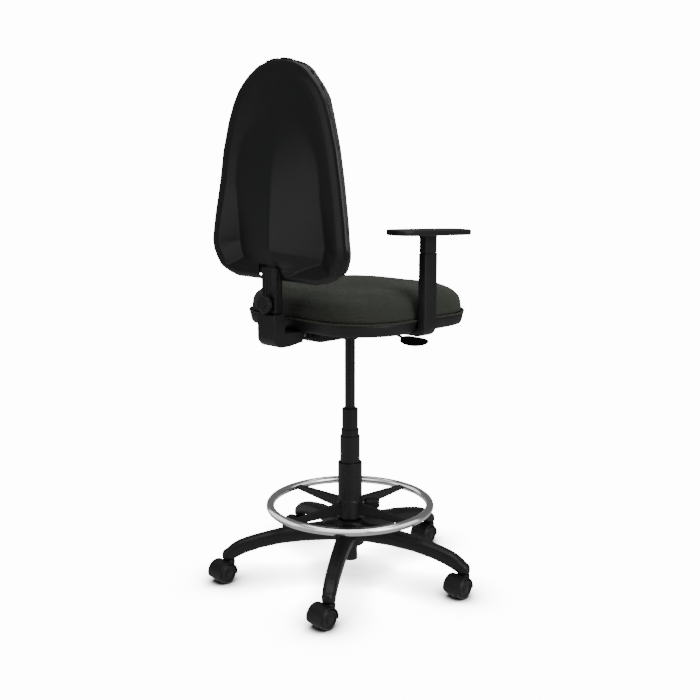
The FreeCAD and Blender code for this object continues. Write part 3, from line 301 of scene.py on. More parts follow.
def fabric(name, across, up, dark, light, pitch=0.0017):
    """Woven crepe upholstery: warp and weft threads over a soft mottled colour."""
    material, tree, shader = surface(
        name, light, 0.92, sheen_weight=0.35, sheen_roughness=0.45, ior=1.35)
    shader.inputs["Sheen Tint"].default_value = (0.42, 0.46, 0.40, 1)
    where = add_node(tree, "TexCoord")
    split = add_node(tree, "SeparateXYZ")
    tree.links.new(where.outputs["Object"], split.inputs["Vector"])
    threads = []
    for axis, shift in ((across, 0.0), (up, math.pi / 2)):
        wave = add_node(tree, "Math", operation="MULTIPLY_ADD")
        wave.inputs[1].default_value = 2 * math.pi / pitch
        wave.inputs[2].default_value = shift
        tree.links.new(split.outputs[axis], wave.inputs[0])
        ripple = add_node(tree, "Math", operation="SINE")
        tree.links.new(wave.outputs[0], ripple.inputs[0])
        threads.append(ripple.outputs[0])
    weave = add_node(tree, "Math", operation="MULTIPLY")
    tree.links.new(threads[0], weave.inputs[0])
    tree.links.new(threads[1], weave.inputs[1])
    fuzz = noise(tree, 700, 4)
    relief = add_node(tree, "Math", operation="ADD")
    tree.links.new(weave.outputs[0], relief.inputs[0])
    tree.links.new(fuzz, relief.inputs[1])
    mottle = add_node(tree, "Math", operation="MULTIPLY_ADD")
    mottle.inputs[1].default_value = 0.30
    tree.links.new(weave.outputs[0], mottle.inputs[0])
    tree.links.new(spread(tree, noise(tree, 900, 3), 0.35, 0.65), mottle.inputs[2])
    tree.links.new(tint(tree, mottle.outputs[0], dark, light), shader.inputs["Base Color"])
    bump(tree, shader, relief.outputs[0], 0.00022, 0.8)
    return material


def wood(name):
    """Beech ply with its layers."""
    material, tree, shader = surface(name, (0.55, 0.38, 0.2), 0.6)
    where = add_node(tree, "TexCoord")
    stretch = add_node(tree, "Mapping")
    stretch.inputs["Scale"].default_value = (6, 60, 700)
    grain = add_node(tree, "TexNoise", Scale=1.0, Detail=4.0)
    tree.links.new(where.outputs["Object"], stretch.inputs["Vector"])
    tree.links.new(stretch.outputs["Vector"], grain.inputs["Vector"])
    tree.links.new(tint(tree, grain.outputs["Fac"], (0.36, 0.22, 0.1), (0.62, 0.45, 0.26)),
                   shader.inputs["Base Color"])
    bump(tree, shader, grain.outputs["Fac"], 0.0002)
    return material


def floor_with_painted_shadow(name):
    """White glowing floor with painted contact shadow: an ambient occlusion node dims its glow softly where
    something stands close above it.
    """
    material = bpy.data.materials.new(name)
    material.use_nodes = True
    tree = material.node_tree
    tree.nodes.clear()
    # Painted shadow: ambient occlusion darkens the floor's glow under the castors and legs, in place of shade
    # from a lamp.
    painted_contact_shadow = add_node(tree, "AmbientOcclusion", samples=16, Distance=0.12)
    fall = add_node(tree, "Math", operation="POWER")
    fall.inputs[1].default_value = 5.0
    tree.links.new(painted_contact_shadow.outputs["AO"], fall.inputs[0])
    gain = add_node(tree, "Math", operation="MULTIPLY")
    gain.inputs[1].default_value = 14.0
    tree.links.new(fall.outputs[0], gain.inputs[0])
    glow = add_node(tree, "Emission")
    tree.links.new(gain.outputs[0], glow.inputs["Strength"])
    out = add_node(tree, "OutputMaterial")
    tree.links.new(glow.outputs[0], out.inputs["Surface"])
    return material


BLACK = plastic("black_nylon", (0.0125, 0.0125, 0.0130), (0.0150, 0.0150, 0.0155), 0.42)
SHELL = plastic("shell_plastic", (0.0100, 0.0100, 0.0104), (0.0112, 0.0112, 0.0116), 0.33,
                grain=1300, relief=0.00002, swing=0.015)
ARM = plastic("arm_plastic", (0.0150, 0.0150, 0.0152), (0.0180, 0.0180, 0.0183), 0.48)
WHEEL = plastic("wheel_plastic", (0.0120, 0.0120, 0.0122), (0.0150, 0.0150, 0.0153), 0.38)
PAINT = plastic("painted_steel", (0.0150, 0.0150, 0.0155), (0.0180, 0.0180, 0.0186), 0.38,
                grain=500, relief=0.00006)
STEEL = metal("bright_steel", (0.42, 0.42, 0.43), (0.55, 0.55, 0.56), 0.3)
CHROME = metal("chrome", (0.90, 0.90, 0.91), (0.95, 0.95, 0.96), 0.16, swing=0.03)
CLOTH_DARK, CLOTH_LIGHT = (0.049, 0.053, 0.044), (0.072, 0.077, 0.064)
SEAT_FABRIC = fabric("seat_fabric", "X", "Y", CLOTH_DARK, CLOTH_LIGHT)
BACK_FABRIC = fabric("back_fabric", "X", "Z", CLOTH_DARK, CLOTH_LIGHT)
SIDE_FABRIC = fabric("side_fabric", "Y", "Z", CLOTH_DARK, CLOTH_LIGHT)
PLY = wood("beech_ply")


# ---------------------------------------------------------------- camera, stage and light
camera = bpy.data.objects.new("camera", bpy.data.cameras.new("camera"))
scene.collection.objects.link(camera)
camera.data.lens = 51.76
camera.data.sensor_width = 36
camera.data.clip_end = 200
camera.location = (-1.7312, 1.7312, 1.0342)
pitch = math.radians(10.525)
level = math.cos(pitch) * math.sqrt(0.5)
camera.rotation_euler = Vector((level, -level, -math.sin(pitch))).to_track_quat("-Z", "Y").to_euler()
scene.camera = camera



def square(name, half, z):
    """A level square about the origin."""
    corners = [(-half, -half, z), (half, -half, z), (half, half, z), (-half, half, z)]
    return add_mesh(name, corners, [(0, 1, 2, 3)])


floor = square("floor", 40, 0)
# The floor glows evenly and carries painted contact shadow, not shade from the lamps.
floor.data.materials.append(floor_with_painted_shadow("floor_paper_painted_shadow"))

DOME_RADIUS = 38
sky_rings = []
for step in range(13):
    rise = math.pi / 2 * step / 12
    reach = DOME_RADIUS * math.cos(rise) + 1e-3
    sky_rings.append([
        (reach * math.cos(t * math.pi / 24),
         reach * math.sin(t * math.pi / 24),
         DOME_RADIUS * math.sin(rise) - 0.5)
        for t in range(48)
    ])
backdrop = loft("backdrop", sky_rings)


def glowing(name, strength):
    """A plain white light-giving surface."""
    material = bpy.data.materials.new(name)
    material.use_nodes = True
    tree = material.node_tree
    tree.nodes.clear()
    glow = add_node(tree, "Emission", Strength=strength)
    out = add_node(tree, "OutputMaterial")
    tree.links.new(glow.outputs[0], out.inputs["Surface"])
    return material


backdrop.data.materials.append(glowing("backdrop_white", 14.0))
bounce = square("bounce_card", 2, -0.02)
bounce.data.materials.append(glowing("bounce_white", 0.42))
bounce.visible_camera = False
for stage in (floor, backdrop):
    for flag in ("visible_diffuse", "visible_glossy", "visible_transmission", "visible_shadow"):
        setattr(stage, flag, False)

world = bpy.data.worlds.new("studio")
world.use_nodes = True
world.node_tree.nodes["Background"].inputs["Color"].default_value = (0.98, 0.99, 1, 1)
world.node_tree.nodes["Background"].inputs["Strength"].default_value = 0.15
scene.world = world


def lamp(name, energy, where, target, size, only=None):
    """A soft rectangular light aimed at a point, lighting everything or one group of pieces only."""
    data = bpy.data.lights.new(name, "AREA")
    data.energy = energy
    data.shape = "RECTANGLE"
    data.size, data.size_y = size
    light = bpy.data.objects.new(name, data)
    light.location = where
    light.rotation_euler = (Vector(target) - Vector(where)).to_track_quat("-Z", "Y").to_euler()
    scene.collection.objects.link(light)
    if only:
        light.light_linking.receiver_collection = only


bright_parts = bpy.data.collections.new("bright_parts")
lamp("key", 44, (-3.4, 0.2, 1.9), (0, 0.1, 0.8), (1.8, 2.6))
lamp("top", 70, (-0.3, 0.2, 3.8), (0, 0, 0.7), (4.0, 4.0))
lamp("rear_card", 9, (1.0, 3.2, 1.2), (0, 0.2, 1.0), (1.9, 2.4))
for name, where in (("ring_left", (2.4, 1.4, 0.7)), ("ring_right", (-2.4, -1.0, 0.7)),
                    ("ring_near", (-1.4, 2.2, 0.5)), ("ring_below", (-0.2, 0.2, -1.2)),
                    ("ring_above", (-0.6, 0.6, 2.2))):
    lamp(name, 46, where, (0, 0, 0.2), (3.4, 3.4), bright_parts)


# ---------------------------------------------------------------- base and castors
LEG_TOP = [(0.020, 0.141), (0.060, 0.1385), (0.120, 0.133), (0.180, 0.1255), (0.230, 0.1155),
           (0.265, 0.107), (0.285, 0.1000), (0.300, 0.0915), (0.312, 0.0810), (0.3200, 0.0700),
           (0.3250, 0.0600)]
LEG_BOTTOM = [(0.020, 0.090), (0.120, 0.092), (0.180, 0.088), (0.230, 0.079), (0.262, 0.070),
              (0.282, 0.062), (0.292, 0.0565), (0.305, 0.0550), (0.3225, 0.0550), (0.3250, 0.0580)]
LEG_HALF = [(0.020, 0.0225), (0.120, 0.0200), (0.200, 0.0183), (0.260, 0.0173), (0.300, 0.0168),
            (0.312, 0.0150), (0.320, 0.0105), (0.3250, 0.0050)]


def base_leg(angle):
    """One arched leg of the star, crowned on top and rounded at the tip."""
    rings = []
    for reach in np.concatenate([np.linspace(0.02, 0.28, 27), np.linspace(0.285, 0.325, 17)]):
        top = table_value(LEG_TOP, reach)
        bottom = table_value(LEG_BOTTOM, reach)
        half = table_value(LEG_HALF, reach)
        middle, rise = (top + bottom) / 2, (top - bottom) / 2
        ring = []
        for i in range(28):
            turn = 2 * math.pi * i / 28
            side = math.copysign(abs(math.cos(turn)) ** 0.62, math.cos(turn)) * half
            up = math.copysign(abs(math.sin(turn)) ** 0.72, math.sin(turn)) * rise
            ring.append((
                reach * math.cos(angle) - side * math.sin(angle),
                reach * math.sin(angle) + side * math.cos(angle),
                middle + up,
            ))
        rings.append(ring)
    return loft("leg", rings)


def spoke_angle(k):
    return math.radians(-90 + 72 * k)


CASTOR_REACH = 0.3094
legs = [base_leg(spoke_angle(k)) for k in range(5)]
for k in range(5):
    stem = (CASTOR_REACH * math.cos(spoke_angle(k)), CASTOR_REACH * math.sin(spoke_angle(k)), 0)
    legs.append(turned("tip", [(0.0140, 0.0540), (0.0166, 0.0555), (0.0166, 0.0700), (0.0120, 0.0780)], stem))
hub = turned("hub", [(0.030, 0.0765), (0.0375, 0.079), (0.0385, 0.090), (0.0385, 0.136),
                     (0.0365, 0.1425), (0.0325, 0.1450), (0.0275, 0.1452)], (0, 0, 0))
star = weld(join("base_star_skin", legs + [hub]), 0.0028, 9, 0.5)
place(star, "root", "black_plastic", BLACK, "base_star")


def castor_wheel(name, node, outer):
    """A twin-wheel castor's wheel: crowned tread, dished face and a hub cap."""
    low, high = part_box(node)
    centre = (low + high) / 2
    half = (high.x - low.x) / 2
    radius = (high.z - low.z) / 2
    profile = [
        (0.0045, -half + 0.001), (0.0075, -half), (radius - 0.006, -half), (radius - 0.002, -half + 0.0012),
        (radius - 0.0004, -half + 0.004), (radius, 0.0), (radius - 0.0006, half - 0.0045),
        (radius - 0.0028, half - 0.0014), (radius - 0.0058, half - 0.0002), (radius - 0.0072, half - 0.0006),
        (radius - 0.0080, half - 0.0024), (radius - 0.0110, half - 0.0030), (0.0095, half - 0.0018),
        (0.0088, half - 0.0004), (0.0074, half), (0.0030, half + 0.0002), (0.0004, half + 0.0003),
    ]
    if outer < 0:
        profile = [(r, -h) for r, h in reversed(profile)]
    return turned(name, profile, centre, "X", 56, 40)


def castor_hood(name, k):
    """The castor's body: a rounded hood over both wheels, a web between them and the stem's boss."""
    low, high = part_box(f"castor_axle_{k}")
    axle = (low + high) / 2
    reach, first, last = 0.0252, math.radians(-22), math.radians(198)
    rings = []
    for turn in np.linspace(first, last, 34):
        edge = min(1.0, 0.35 + 3.2 * min(turn - first, last - turn))
        ring = []
        for x, r in rounded_rect(reach, 0.0016, 0.0014, 3):
            radius = 0.0284 + r - 0.0020 * (x / reach) ** 6
            ring.append((axle.x + x * edge ** 0.25,
                         axle.y + radius * math.cos(turn),
                         axle.z + radius * math.sin(turn)))
        rings.append(ring)
    hood = loft("hood", rings)
    web = turned("web", [(0.0060, -0.0068), (0.0262, -0.0068), (0.0262, 0.0068), (0.0060, 0.0068)],
                 axle, "X", 48)
    boss = turned("boss", [(0.0150, 0.0400), (0.0158, 0.0460), (0.0152, 0.0515), (0.0140, 0.0534)],
                  (axle.x, axle.y - 0.02, 0))
    return weld(join(name, [hood, web, boss]), 0.0009, 4, 0.5)


for k in range(1, 6):
    for side, outer in (("left", 1), ("right", -1)):
        node = f"castor_wheel_{k}_{side}"
        wheel = castor_wheel(f"wheel_{k}_{side}_skin", node, outer)
        place(wheel, f"wheel_{k}_{side}", "wheel_plastic", WHEEL, node)
    hood = castor_hood(f"castor_hood_{k}_skin", k)
    place(hood, f"castor_{k}", "black_plastic", BLACK, f"castor_hood_{k}")


# ---------------------------------------------------------------- column and foot ring
ring_low, ring_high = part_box("footring_tube")
ring_level = (ring_low.z + ring_high.z) / 2
ring_tube = (ring_high.z - ring_low.z) / 2
ring_radius = (ring_high.x - ring_low.x) / 2 - ring_tube
hoop = tube("footring_skin", [
    (ring_radius * math.cos(math.tau * i / 192), ring_radius * math.sin(math.tau * i / 192), ring_level)
    for i in range(192)
], ring_tube, closed=True, sides=40)
place(hoop, "ring", "chrome", CHROME, "footring_tube")
bright_parts.objects.link(hoop)

hub_skin = moulded("footring_hub_skin", "footring_hub", 0.0013, 3)
place(hub_skin, "ring", "black_plastic", BLACK, "footring_hub")
ring_knob = moulded("footring_knob_skin", "footring_knob", 0.0009, 4)
place(ring_knob, "ring_clamp", "black_plastic", BLACK, "footring_knob")


# ---------------------------------------------------------------- seat
def seat_outline(inset, corner=0.14, steps=14):
    """The seat's rounded outline, drawn in by an inset."""
    low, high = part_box("seat_pan")
    half_x, half_y = (high.x - low.x) / 2 - inset, (high.y - low.y) / 2 - inset
    middle = (low.y + high.y) / 2
    return [(x, y + middle) for x, y in rounded_rect(half_x, half_y, corner - inset, steps)]


def ringed(outline, z):
    return [(x, y, z) for x, y in outline]


pan_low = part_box("seat_pan")[0]
pan_rings = []
for inset, rise in ((0.110, 0.0), (0.078, 0.0), (0.070, -0.0120), (0.016, -0.0120), (0.0085, -0.0098),
                    (0.0060, -0.0060),
                    (0.0042, 0.0020), (0.0024, 0.0100), (0.0018, 0.0148), (0.0030, 0.0164), (0.0300, 0.0168)):
    pan_rings.append(ringed(seat_outline(inset), pan_low.z + rise))
pan = loft("seat_pan_skin", pan_rings, 50)
place(pan, "seat", "black_plastic", ARM, "seat_pan")


def puff(obj, voxel, most, held, pressure=4.0, frames=20):
    """Inflates a stuffed piece by cloth pressure, capped, with the held points kept in place."""
    remesh = obj.modifiers.new("remesh", "REMESH")
    remesh.mode = "VOXEL"
    remesh.voxel_size = voxel
    bake(obj)
    rest = np.array([v.co for v in obj.data.vertices])
    fixed = [i for i, p in enumerate(rest) if held(p)]
    group = obj.vertex_groups.new(name="held")
    group.add(fixed, 1.0, "REPLACE")
    cloth = obj.modifiers.new("cloth", "CLOTH")
    cloth.settings.use_pressure = True
    cloth.settings.uniform_pressure_force = pressure
    cloth.settings.effector_weights.gravity = 0
    cloth.settings.vertex_group_mass = "held"
    cloth.settings.quality = 5
    cloth.point_cache.frame_start = 1
    cloth.point_cache.frame_end = frames
    for step in range(1, frames + 1):
        scene.frame_set(step)
    graph = bpy.context.evaluated_depsgraph_get()
    swollen = obj.evaluated_get(graph).to_mesh()
    moved = np.array([v.co for v in swollen.vertices])
    obj.evaluated_get(graph).to_mesh_clear()
    obj.modifiers.clear()
    obj.vertex_groups.clear()
    scene.frame_set(1)
    shift = moved - rest
    length = np.linalg.norm(shift, axis=1, keepdims=True)
    shift *= most * np.tanh(length / most) / np.maximum(length, 1e-9)
    obj.data.vertices.foreach_set("co", (rest + shift).astype(np.float32).ravel())
    smooth = obj.modifiers.new("smooth", "SMOOTH")
    smooth.iterations = 6
    subdivide = obj.modifiers.new("subdivide", "SUBSURF")
    subdivide.levels = 1
    bake(obj)
    shade(obj, 180)
    return obj


foam_rings = []
seam = pan_low.z + 0.0172
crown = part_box("seat_cushion")[1].z - seam
for inset, share in ((0.030, -0.01), (0.009, 0.0), (0.0060, 0.10), (0.0045, 0.24), (0.0045, 0.42),
                     (0.0085, 0.60),
                     (0.0165, 0.74), (0.0300, 0.83), (0.0520, 0.88), (0.0850, 0.905), (0.1250, 0.92)):
    foam_rings.append(ringed(seat_outline(inset), seam + crown * share))
seat_cushion = loft("seat_cushion_skin", foam_rings)
puff(seat_cushion, 0.0055, 0.006, lambda p: p[2] < seam + 0.003)
place(seat_cushion, "seat", "seat_fabric", SEAT_FABRIC, "seat_cushion")
piping_level = seam + 0.0008
piping = tube("seat_piping", [(x, y, piping_level) for x, y in seat_outline(0.0020, steps=18)],
              0.0022, closed=True, sides=12)
place(piping, "seat", "seat_fabric", SIDE_FABRIC)


# ---------------------------------------------------------------- backrest
# Tables of (height, value) in metres; LIP is by distance in from the outline instead.
HALF_WIDTH = [(0.768, 0.140), (0.776, 0.172), (0.788, 0.202), (0.802, 0.2190), (0.827, 0.2327),
              (0.850, 0.2350),
              (0.885, 0.2300), (0.918, 0.2247), (0.990, 0.2102), (1.063, 0.1963), (1.128, 0.1767),
              (1.172, 0.1590), (1.200, 0.1405), (1.214, 0.1270), (1.236, 0.1030), (1.248, 0.0820),
              (1.256, 0.0600), (1.261, 0.0390), (1.264, 0.0120)]
MID_PLANE = [(0.768, 0.2255), (0.827, 0.2275), (0.857, 0.2305), (0.918, 0.2276), (0.990, 0.2235),
             (1.063, 0.2228),
             (1.128, 0.2210), (1.172, 0.2182), (1.214, 0.2177), (1.236, 0.2138), (1.264, 0.2110)]
RIDGE = [(0.768, 0.2560), (0.848, 0.2613), (0.918, 0.2580), (0.996, 0.2528), (1.040, 0.2468), (1.074, 0.2408),
         (1.110, 0.2335), (1.150, 0.2268), (1.200, 0.2235), (1.264, 0.2215)]
PANEL_SLOPE = [(0.768, 0.275), (0.850, 0.275), (0.918, 0.215), (0.990, 0.145), (1.074, 0.070), (1.130, 0.020),
               (1.264, 0.0)]
BAND_SLOPE = [(0.768, 0.48), (0.850, 0.46), (0.918, 0.34), (0.990, 0.20), (1.074, 0.15), (1.130, 0.12),
              (1.264, 0.10)]
LIP = [(0.0, -0.0130), (0.0008, -0.0088), (0.0020, -0.0062), (0.0040, -0.0043), (0.0080, -0.0026),
       (0.0140, -0.0013),
       (0.0220, -0.0003), (0.0260, -0.0002), (0.0285, -0.0006), (0.0310, 0.0), (1.0, 0.0)]
CREASE_BLEND = [(0.768, 0.0008), (1.040, 0.0010), (1.110, 0.0030), (1.170, 0.0070), (1.264, 0.0090)]


def smooth_table(table, z):
    """Reads a table with its corners eased."""
    spacing = 0.008
    return sum(table_value(table, z + spacing * k) * w
               for k, w in ((-2, 0.1), (-1, 0.2), (0, 0.4), (1, 0.2), (2, 0.1)))


def soft_max(a, b, radius):
    """The larger of two heights, with the valley between them rounded."""
    return 0.5 * (a + b + np.sqrt((a - b) ** 2 + radius ** 2))


def back_half_width(z):
    return table_value(HALF_WIDTH, z)


def shell_height(x, z, side_gap, bottom_gap):
    """Rear face of the moulded shell: two panels meeting in a ridge, in a raised rim."""
    rim = smooth_table(MID_PLANE, z) + 0.016
    blend = table_value(CREASE_BLEND, z)
    ridge_round = 0.002 + np.clip((z - 1.02) / 0.14, 0, 1) ** 2 * 0.05
    across = np.sqrt(x ** 2 + ridge_round ** 2) - ridge_round
    panel = smooth_table(RIDGE, z) - smooth_table(PANEL_SLOPE, z) * across
    fold = np.interp(across, [0, 0.144, 0.3], [0.840, 0.825, 0.825])
    below = np.maximum(0, fold - z)
    panel -= 0.16 * below
    boss = np.exp(-(across / 0.058) ** 2 - ((z - 0.785) / 0.026) ** 2)
    panel += 0.011 * boss * (1 - np.exp(-(across / 0.03) ** 2))
    side = rim - smooth_table(BAND_SLOPE, z) * np.maximum(0, side_gap - 0.030)
    chin = rim - 0.65 * np.maximum(0, bottom_gap - 0.012)
    height = soft_max(soft_max(side, chin, 0.0008), panel, blend)
    lip = np.interp(np.minimum(side_gap, bottom_gap + 0.002), *zip(*LIP))
    return height + lip


def outline_gap(x, z, border):
    """Distance from points to the border's nearest point."""
    best = np.full(x.shape, 9.0)
    for bx, bz in border:
        best = np.minimum(best, (np.abs(x) - bx) ** 2 + (z - bz) ** 2)
    return np.sqrt(best)


def shell_skin():
    """The one-piece outer shell as a fine grid that follows its outline."""
    rows, columns = 190, 150
    low, high = 0.7715, 1.2600
    inset = 0.0045
    t = np.linspace(-1, 1, rows)
    s = np.sin(np.linspace(-1, 1, columns) * math.pi / 2)
    z = (low + high) / 2 + (high - low) / 2 * np.sin(t * math.pi / 2)
    stretched = np.interp(z, [low, high], [0.768 + 0.0005, 1.264 - 0.0002])
    half = np.maximum(back_half_width(stretched) - inset, 0.004)
    x = s[None, :] * half[:, None]
    level = np.repeat(z[:, None], columns, axis=1)
    fine = np.linspace(low, high, 700)
    fine_half = np.maximum(back_half_width(np.interp(fine, [low, high], [0.7685, 1.2638])) - inset, 0.004)
    border = [(h, f) for h, f in zip(fine_half, fine) if f > 0.800]
    border += [(h, high) for h in np.linspace(0, fine_half[-1], 6)]
    floor_z = np.interp(np.abs(x), fine_half[fine < 0.86][: np.argmax(fine_half[fine < 0.86])],
                        fine[fine < 0.86][: np.argmax(fine_half[fine < 0.86])])
    height = shell_height(x, level, outline_gap(x, level, border), np.maximum(0, level - floor_z))
    points = [(x[i, j], height[i, j], z[i]) for i in range(rows) for j in range(columns)]
    faces = [(i * columns + j, i * columns + j + 1, (i + 1) * columns + j + 1, (i + 1) * columns + j)
             for i in range(rows - 1) for j in range(columns - 1)]
    shell = add_mesh("back_shell_skin", points, faces, 180)
    thick = shell.modifiers.new("thick", "SOLIDIFY")
    thick.thickness = 0.0028
    thick.offset = -1
    bake(shell)
    return shell


def cut(obj, tool):
    """Takes the tool's volume out of the object."""
    boolean = obj.modifiers.new("cut", "BOOLEAN")
    boolean.operation = "DIFFERENCE"
    boolean.object = tool
    bake(obj)
    bpy.data.objects.remove(tool)


shell = shell_skin()
for middle, half_x, half_z, level in ((0, 0.0240, 0.0400, 0.7675), (0.0170, 0.0410, 0.0140, 0.7935)):
    outline = rounded_rect(half_x, half_z, 0.006)
    cut(shell, loft("notch", [[(middle + x, y, level + z) for x, z in outline] for y in (0.15, 0.32)]))
pocket = box_mesh("pocket", (-0.026, 0.2140, 0.7725), (0.062, 0.2165, 0.812), 0.0006, 1)
shell = join("back_shell_skin", [shell, pocket])
shade(shell, 38)
place(shell, "backrest", "shell_plastic", SHELL, "back_shell")


def back_ring(z):
    """One level of the back cushion, crowned to the front and open to the shell behind."""
    half = back_half_width(z) - 0.005
    middle = float(smooth_table(MID_PLANE, z))
    depth = 0.026 + 0.020 * min(1.0, half / 0.16)
    ring = []
    for i in range(72):
        turn = math.tau * i / 72
        c, s = math.cos(turn), math.sin(turn)
        x = math.copysign(abs(c) ** 0.55, c) * half
        if s <= 0:
            edge = abs(s) ** 0.62
            y = middle + 0.004 - depth * edge - 0.010 * edge * (1 - (x / max(half, 1e-6)) ** 2)
        else:
            recess = 0.046 * max(0.0, 1 - (abs(x) / (0.92 * half)) ** 10) * s ** 2
            y = middle + 0.004 + 0.010 * abs(s) ** 0.5 - recess
        ring.append((x, y, z))
    return ring


cushion_levels = 0.772 + (1.2590 - 0.772) * (0.5 + 0.5 * np.sin(np.linspace(-1, 1, 60) * math.pi / 2))
back_cushion = loft("back_cushion_skin", [back_ring(float(z)) for z in cushion_levels])
puff(back_cushion, 0.0055, 0.006, lambda p: p[1] > smooth_table(MID_PLANE, p[2]) + 0.002)
place(back_cushion, "backrest", "seat_fabric", BACK_FABRIC, "back_cushion")
board_rings = []
for y in (0.1985, 0.2060):
    board_rings.append([(x, y, 0.995 + z) for x, z in rounded_rect(0.105, 0.150, 0.030)])
back_board = loft("back_board_skin", board_rings)
place(back_board, "backrest", "plywood", PLY, "back_board")


# ---------------------------------------------------------------- back support
def ribbed_upright():
    """The moulded cover of the back's bar, with its upright ribs on the rear and the sides."""
    low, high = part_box("upright_cover")
    half, top = 0.0215, 0.8020
    body = box_mesh("upright", (-half, 0.2370, low.z), (half, 0.2615, top), 0.0022)
    ribs = []
    for i in range(4):
        x = -half + 0.0062 + i * 0.0102
        ribs.append(box_mesh("rib", (x, 0.2590, low.z + 0.040), (x + 0.0060, 0.2626, top - 0.001), 0.0009, 2))
    for i in range(2):
        y = 0.2412 + i * 0.0098
        for side in (-1, 1):
            edge = sorted((side * 0.0200, side * 0.0222))
            ribs.append(box_mesh("rib", (edge[0], y, low.z + 0.006),
                                 (edge[1], y + 0.0058, top - 0.001), 0.0007, 2))
    return join("upright_cover_skin", [body] + ribs)


upright = ribbed_upright()
shade(upright, 40)
place(upright, "backrest", "black_plastic", BLACK, "upright_cover")

boot = moulded("back_boot_skin", "back_boot", 0.0012, 4)
place(boot, "back_support", "black_plastic", BLACK, "back_boot")


def lobed_knob(name, node, lobes=7):
    """A hand knob with shallow finger scallops and a raised face."""
    low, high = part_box(node)
    centre = (low + high) / 2
    radius = (high.z - low.z) / 2
    rings = []
    for share, rise in ((0.62, 0.0), (0.90, 0.0004), (0.985, 0.0020), (1.0, 0.0045), (1.0, 0.0085),
                        (0.975, 0.0108), (0.90, 0.0122), (0.74, 0.0128), (0.70, 0.0118), (0.34, 0.0116),
                        (0.31, 0.0136), (0.10, 0.0139)):
        ring = []
        for i in range(84):
            turn = math.tau * i / 84
            scallop = 1 - 0.055 * max(0.0, math.cos(lobes * turn)) ** 2 * (share > 0.8)
            reach = radius * share * scallop
            ring.append((centre.x + reach * math.cos(turn), low.y + rise, centre.z + reach * math.sin(turn)))
        rings.append(ring)
    return loft(name, rings, 30)


back_knob = lobed_knob("back_knob_skin", "back_knob")
place(back_knob, "back_clamp", "black_plastic", ARM, "back_knob")

housing = moulded("mechanism_skin", "mechanism_housing", 0.0016, 3)
place(housing, "seat", "painted_steel", PAINT, "mechanism_housing")


# ---------------------------------------------------------------- arms
def arm_pad(name, node):
    """A soft-touch arm pad: long oval, flat underneath, gently crowned and rising a little to the rear."""
    low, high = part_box(node)
    centre = (low + high) / 2
    half_x, half_y = (high.x - low.x) / 2, (high.y - low.y) / 2
    thick = 0.0130
    base = high.z - thick
    rings = []
    for inset, share in ((0.012, 0.0), (0.0022, 0.01), (0.0008, 0.06), (0.0001, 0.20), (0.0, 0.60),
                         (0.0004, 0.82),
                         (0.0018, 0.94), (0.0050, 0.99), (0.0150, 1.0), (0.0300, 1.0)):
        ring = []
        for i in range(120):
            turn = math.tau * i / 120
            c, s = math.cos(turn), math.sin(turn)
            x = math.copysign(abs(c) ** 0.56, c) * (half_x - inset)
            y = math.copysign(abs(s) ** 0.46, s) * (half_y - inset)
            ring.append((centre.x + x, centre.y + y, base + thick * share + 0.034 * y))
        rings.append(ring)
    return loft(name, rings, 60)


def arm_sleeve(name, side):
    """The L-shaped sleeve: a flat foot under the seat, a round bend and the upright socket."""
    low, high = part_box(f"arm_sleeve_{side}")
    sign = 1 if side == "left" else -1
    outer, top = max(abs(low.x), abs(high.x)), high.z
    thick, foot_thick, half_y = 0.0210, 0.0180, high.y
    foot_inner = min(abs(low.x), abs(high.x))
    bend = 0.024
    path = [(foot_inner, low.z, 0.0), (outer - bend - 0.002, low.z, 0.0)]
    for step in range(9):
        turn = math.pi / 2 * step / 8
        path.append((outer - bend + bend * math.sin(turn), low.z + bend - bend * math.cos(turn), turn))
    path += [(outer, z, math.pi / 2) for z in (low.z + bend + 0.002, top - 0.0015, top)]
    rings = []
    for index, (x, z, turn) in enumerate(path):
        deep = foot_thick + (thick - foot_thick) * math.sin(turn)
        pinch = 0.0012 if index == len(path) - 1 else 0.0
        ring = []
        for across, along in rounded_rect(deep / 2 - pinch, half_y + 0.0008 - pinch, 0.0026, 4):
            inward = across + deep / 2
            ring.append((sign * (x - inward * math.sin(turn)), along, z + inward * math.cos(turn)))
        rings.append(ring)
    return loft(name, rings, 40)


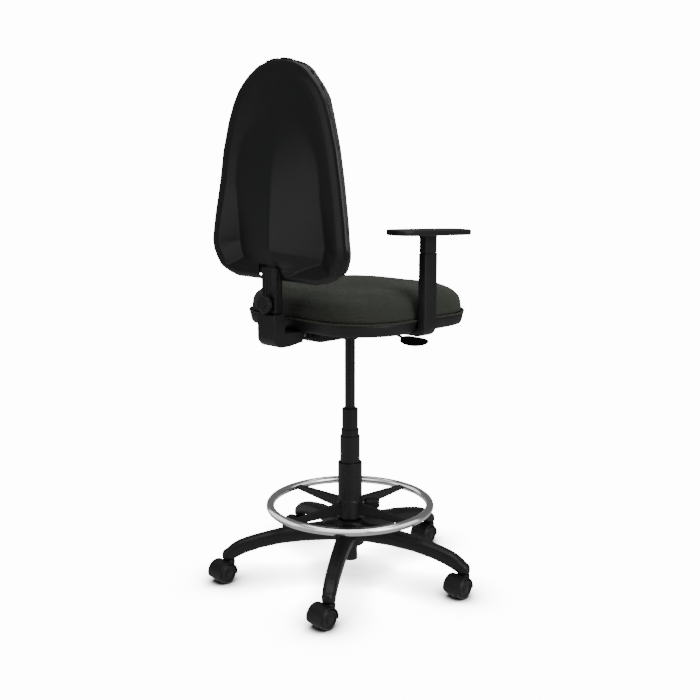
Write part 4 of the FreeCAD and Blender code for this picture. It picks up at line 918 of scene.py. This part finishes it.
def arm_post(name, side):
    """The sliding post, flat at the rear inside the sleeve, with its head up to the pad."""
    low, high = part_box(f"arm_post_{side}")
    centre = (low + high) / 2
    half_x, half_y = (high.x - low.x) / 2, (high.y - low.y) / 2
    rings = []
    for inset, z in ((0.0022, low.z), (0.0018, 0.8352), (-0.0008, 0.8356), (-0.0012, 0.8368),
                     (-0.0012, high.z - 0.0060), (-0.0016, high.z - 0.0030), (-0.0030, high.z + 0.0030)):
        rear = half_y - 0.0058 if z < 0.8354 else half_y - inset
        rings.append([(centre.x + x, centre.y + min(y, rear), z)
                      for x, y in rounded_rect(half_x - inset, half_y - inset, 0.0024, 4)])
    return loft(name, rings, 40)


for side in ("left", "right"):
    place(arm_sleeve(f"arm_sleeve_{side}_skin", side), "seat", "arm_plastic", ARM, f"arm_sleeve_{side}")
    place(arm_post(f"arm_post_{side}_skin", side), f"arm_{side}", "arm_plastic", ARM, f"arm_post_{side}")
    pad = arm_pad(f"arm_pad_{side}_skin", f"arm_pad_{side}")
    place(pad, f"arm_{side}", "arm_plastic", ARM, f"arm_pad_{side}")


# ---------------------------------------------------------------- lever
def paddle():
    """The leaf-shaped grip of the gas lever, tipped down to the rear."""
    low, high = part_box("lever_handle")
    length, thick = high.x - low.x, 0.0065
    middle_y, middle_z = (low.y + high.y) / 2, (low.z + high.z) / 2
    rings = []
    for share in np.linspace(0, 1, 25):
        width = (high.y - low.y) / 2 * (0.30 + 0.70 * math.sin(math.pi * min(1, 0.12 + 0.80 * share)) ** 0.8)
        width *= math.sqrt(max(0.02, 1 - (abs(share - 0.5) * 2) ** 8))
        droop = 0.0025 * math.sin(math.pi * share)
        half = thick / 2 * (1.15 - 0.35 * share) * math.sqrt(max(0.05, 1 - (abs(share - 0.5) * 2) ** 10))
        ring = []
        for i in range(24):
            turn = math.tau * i / 24
            ring.append((high.x - length * share,
                         middle_y + width * math.cos(turn),
                         middle_z - droop - 0.55 * width * math.cos(turn)
                         + half * math.copysign(abs(math.sin(turn)) ** 0.8, math.sin(turn))))
        rings.append(ring)
    return loft("lever_handle_skin", rings, 60)


place(paddle(), "lever", "black_plastic", BLACK, "lever_handle")


# ---------------------------------------------------------------- CAD nodes that stay
STAYS = (
    (PAINT, ("column_tube", "gas_cylinder", "gas_lever", "back_bar")),
    (BLACK, ("guide_bush", "footring_bush", "arm_button_left", "arm_button_right")),
    (PLY, ("seat_board",)),
)
for material, members in STAYS:
    for member in members:
        nodes[member].data.materials.clear()
        nodes[member].data.materials.append(material)
named = {member for _, members in STAYS for member in members}
for name, node in nodes.items():
    if not node.hide_render and name not in named:
        node.data.materials.clear()
        node.data.materials.append(STEEL)
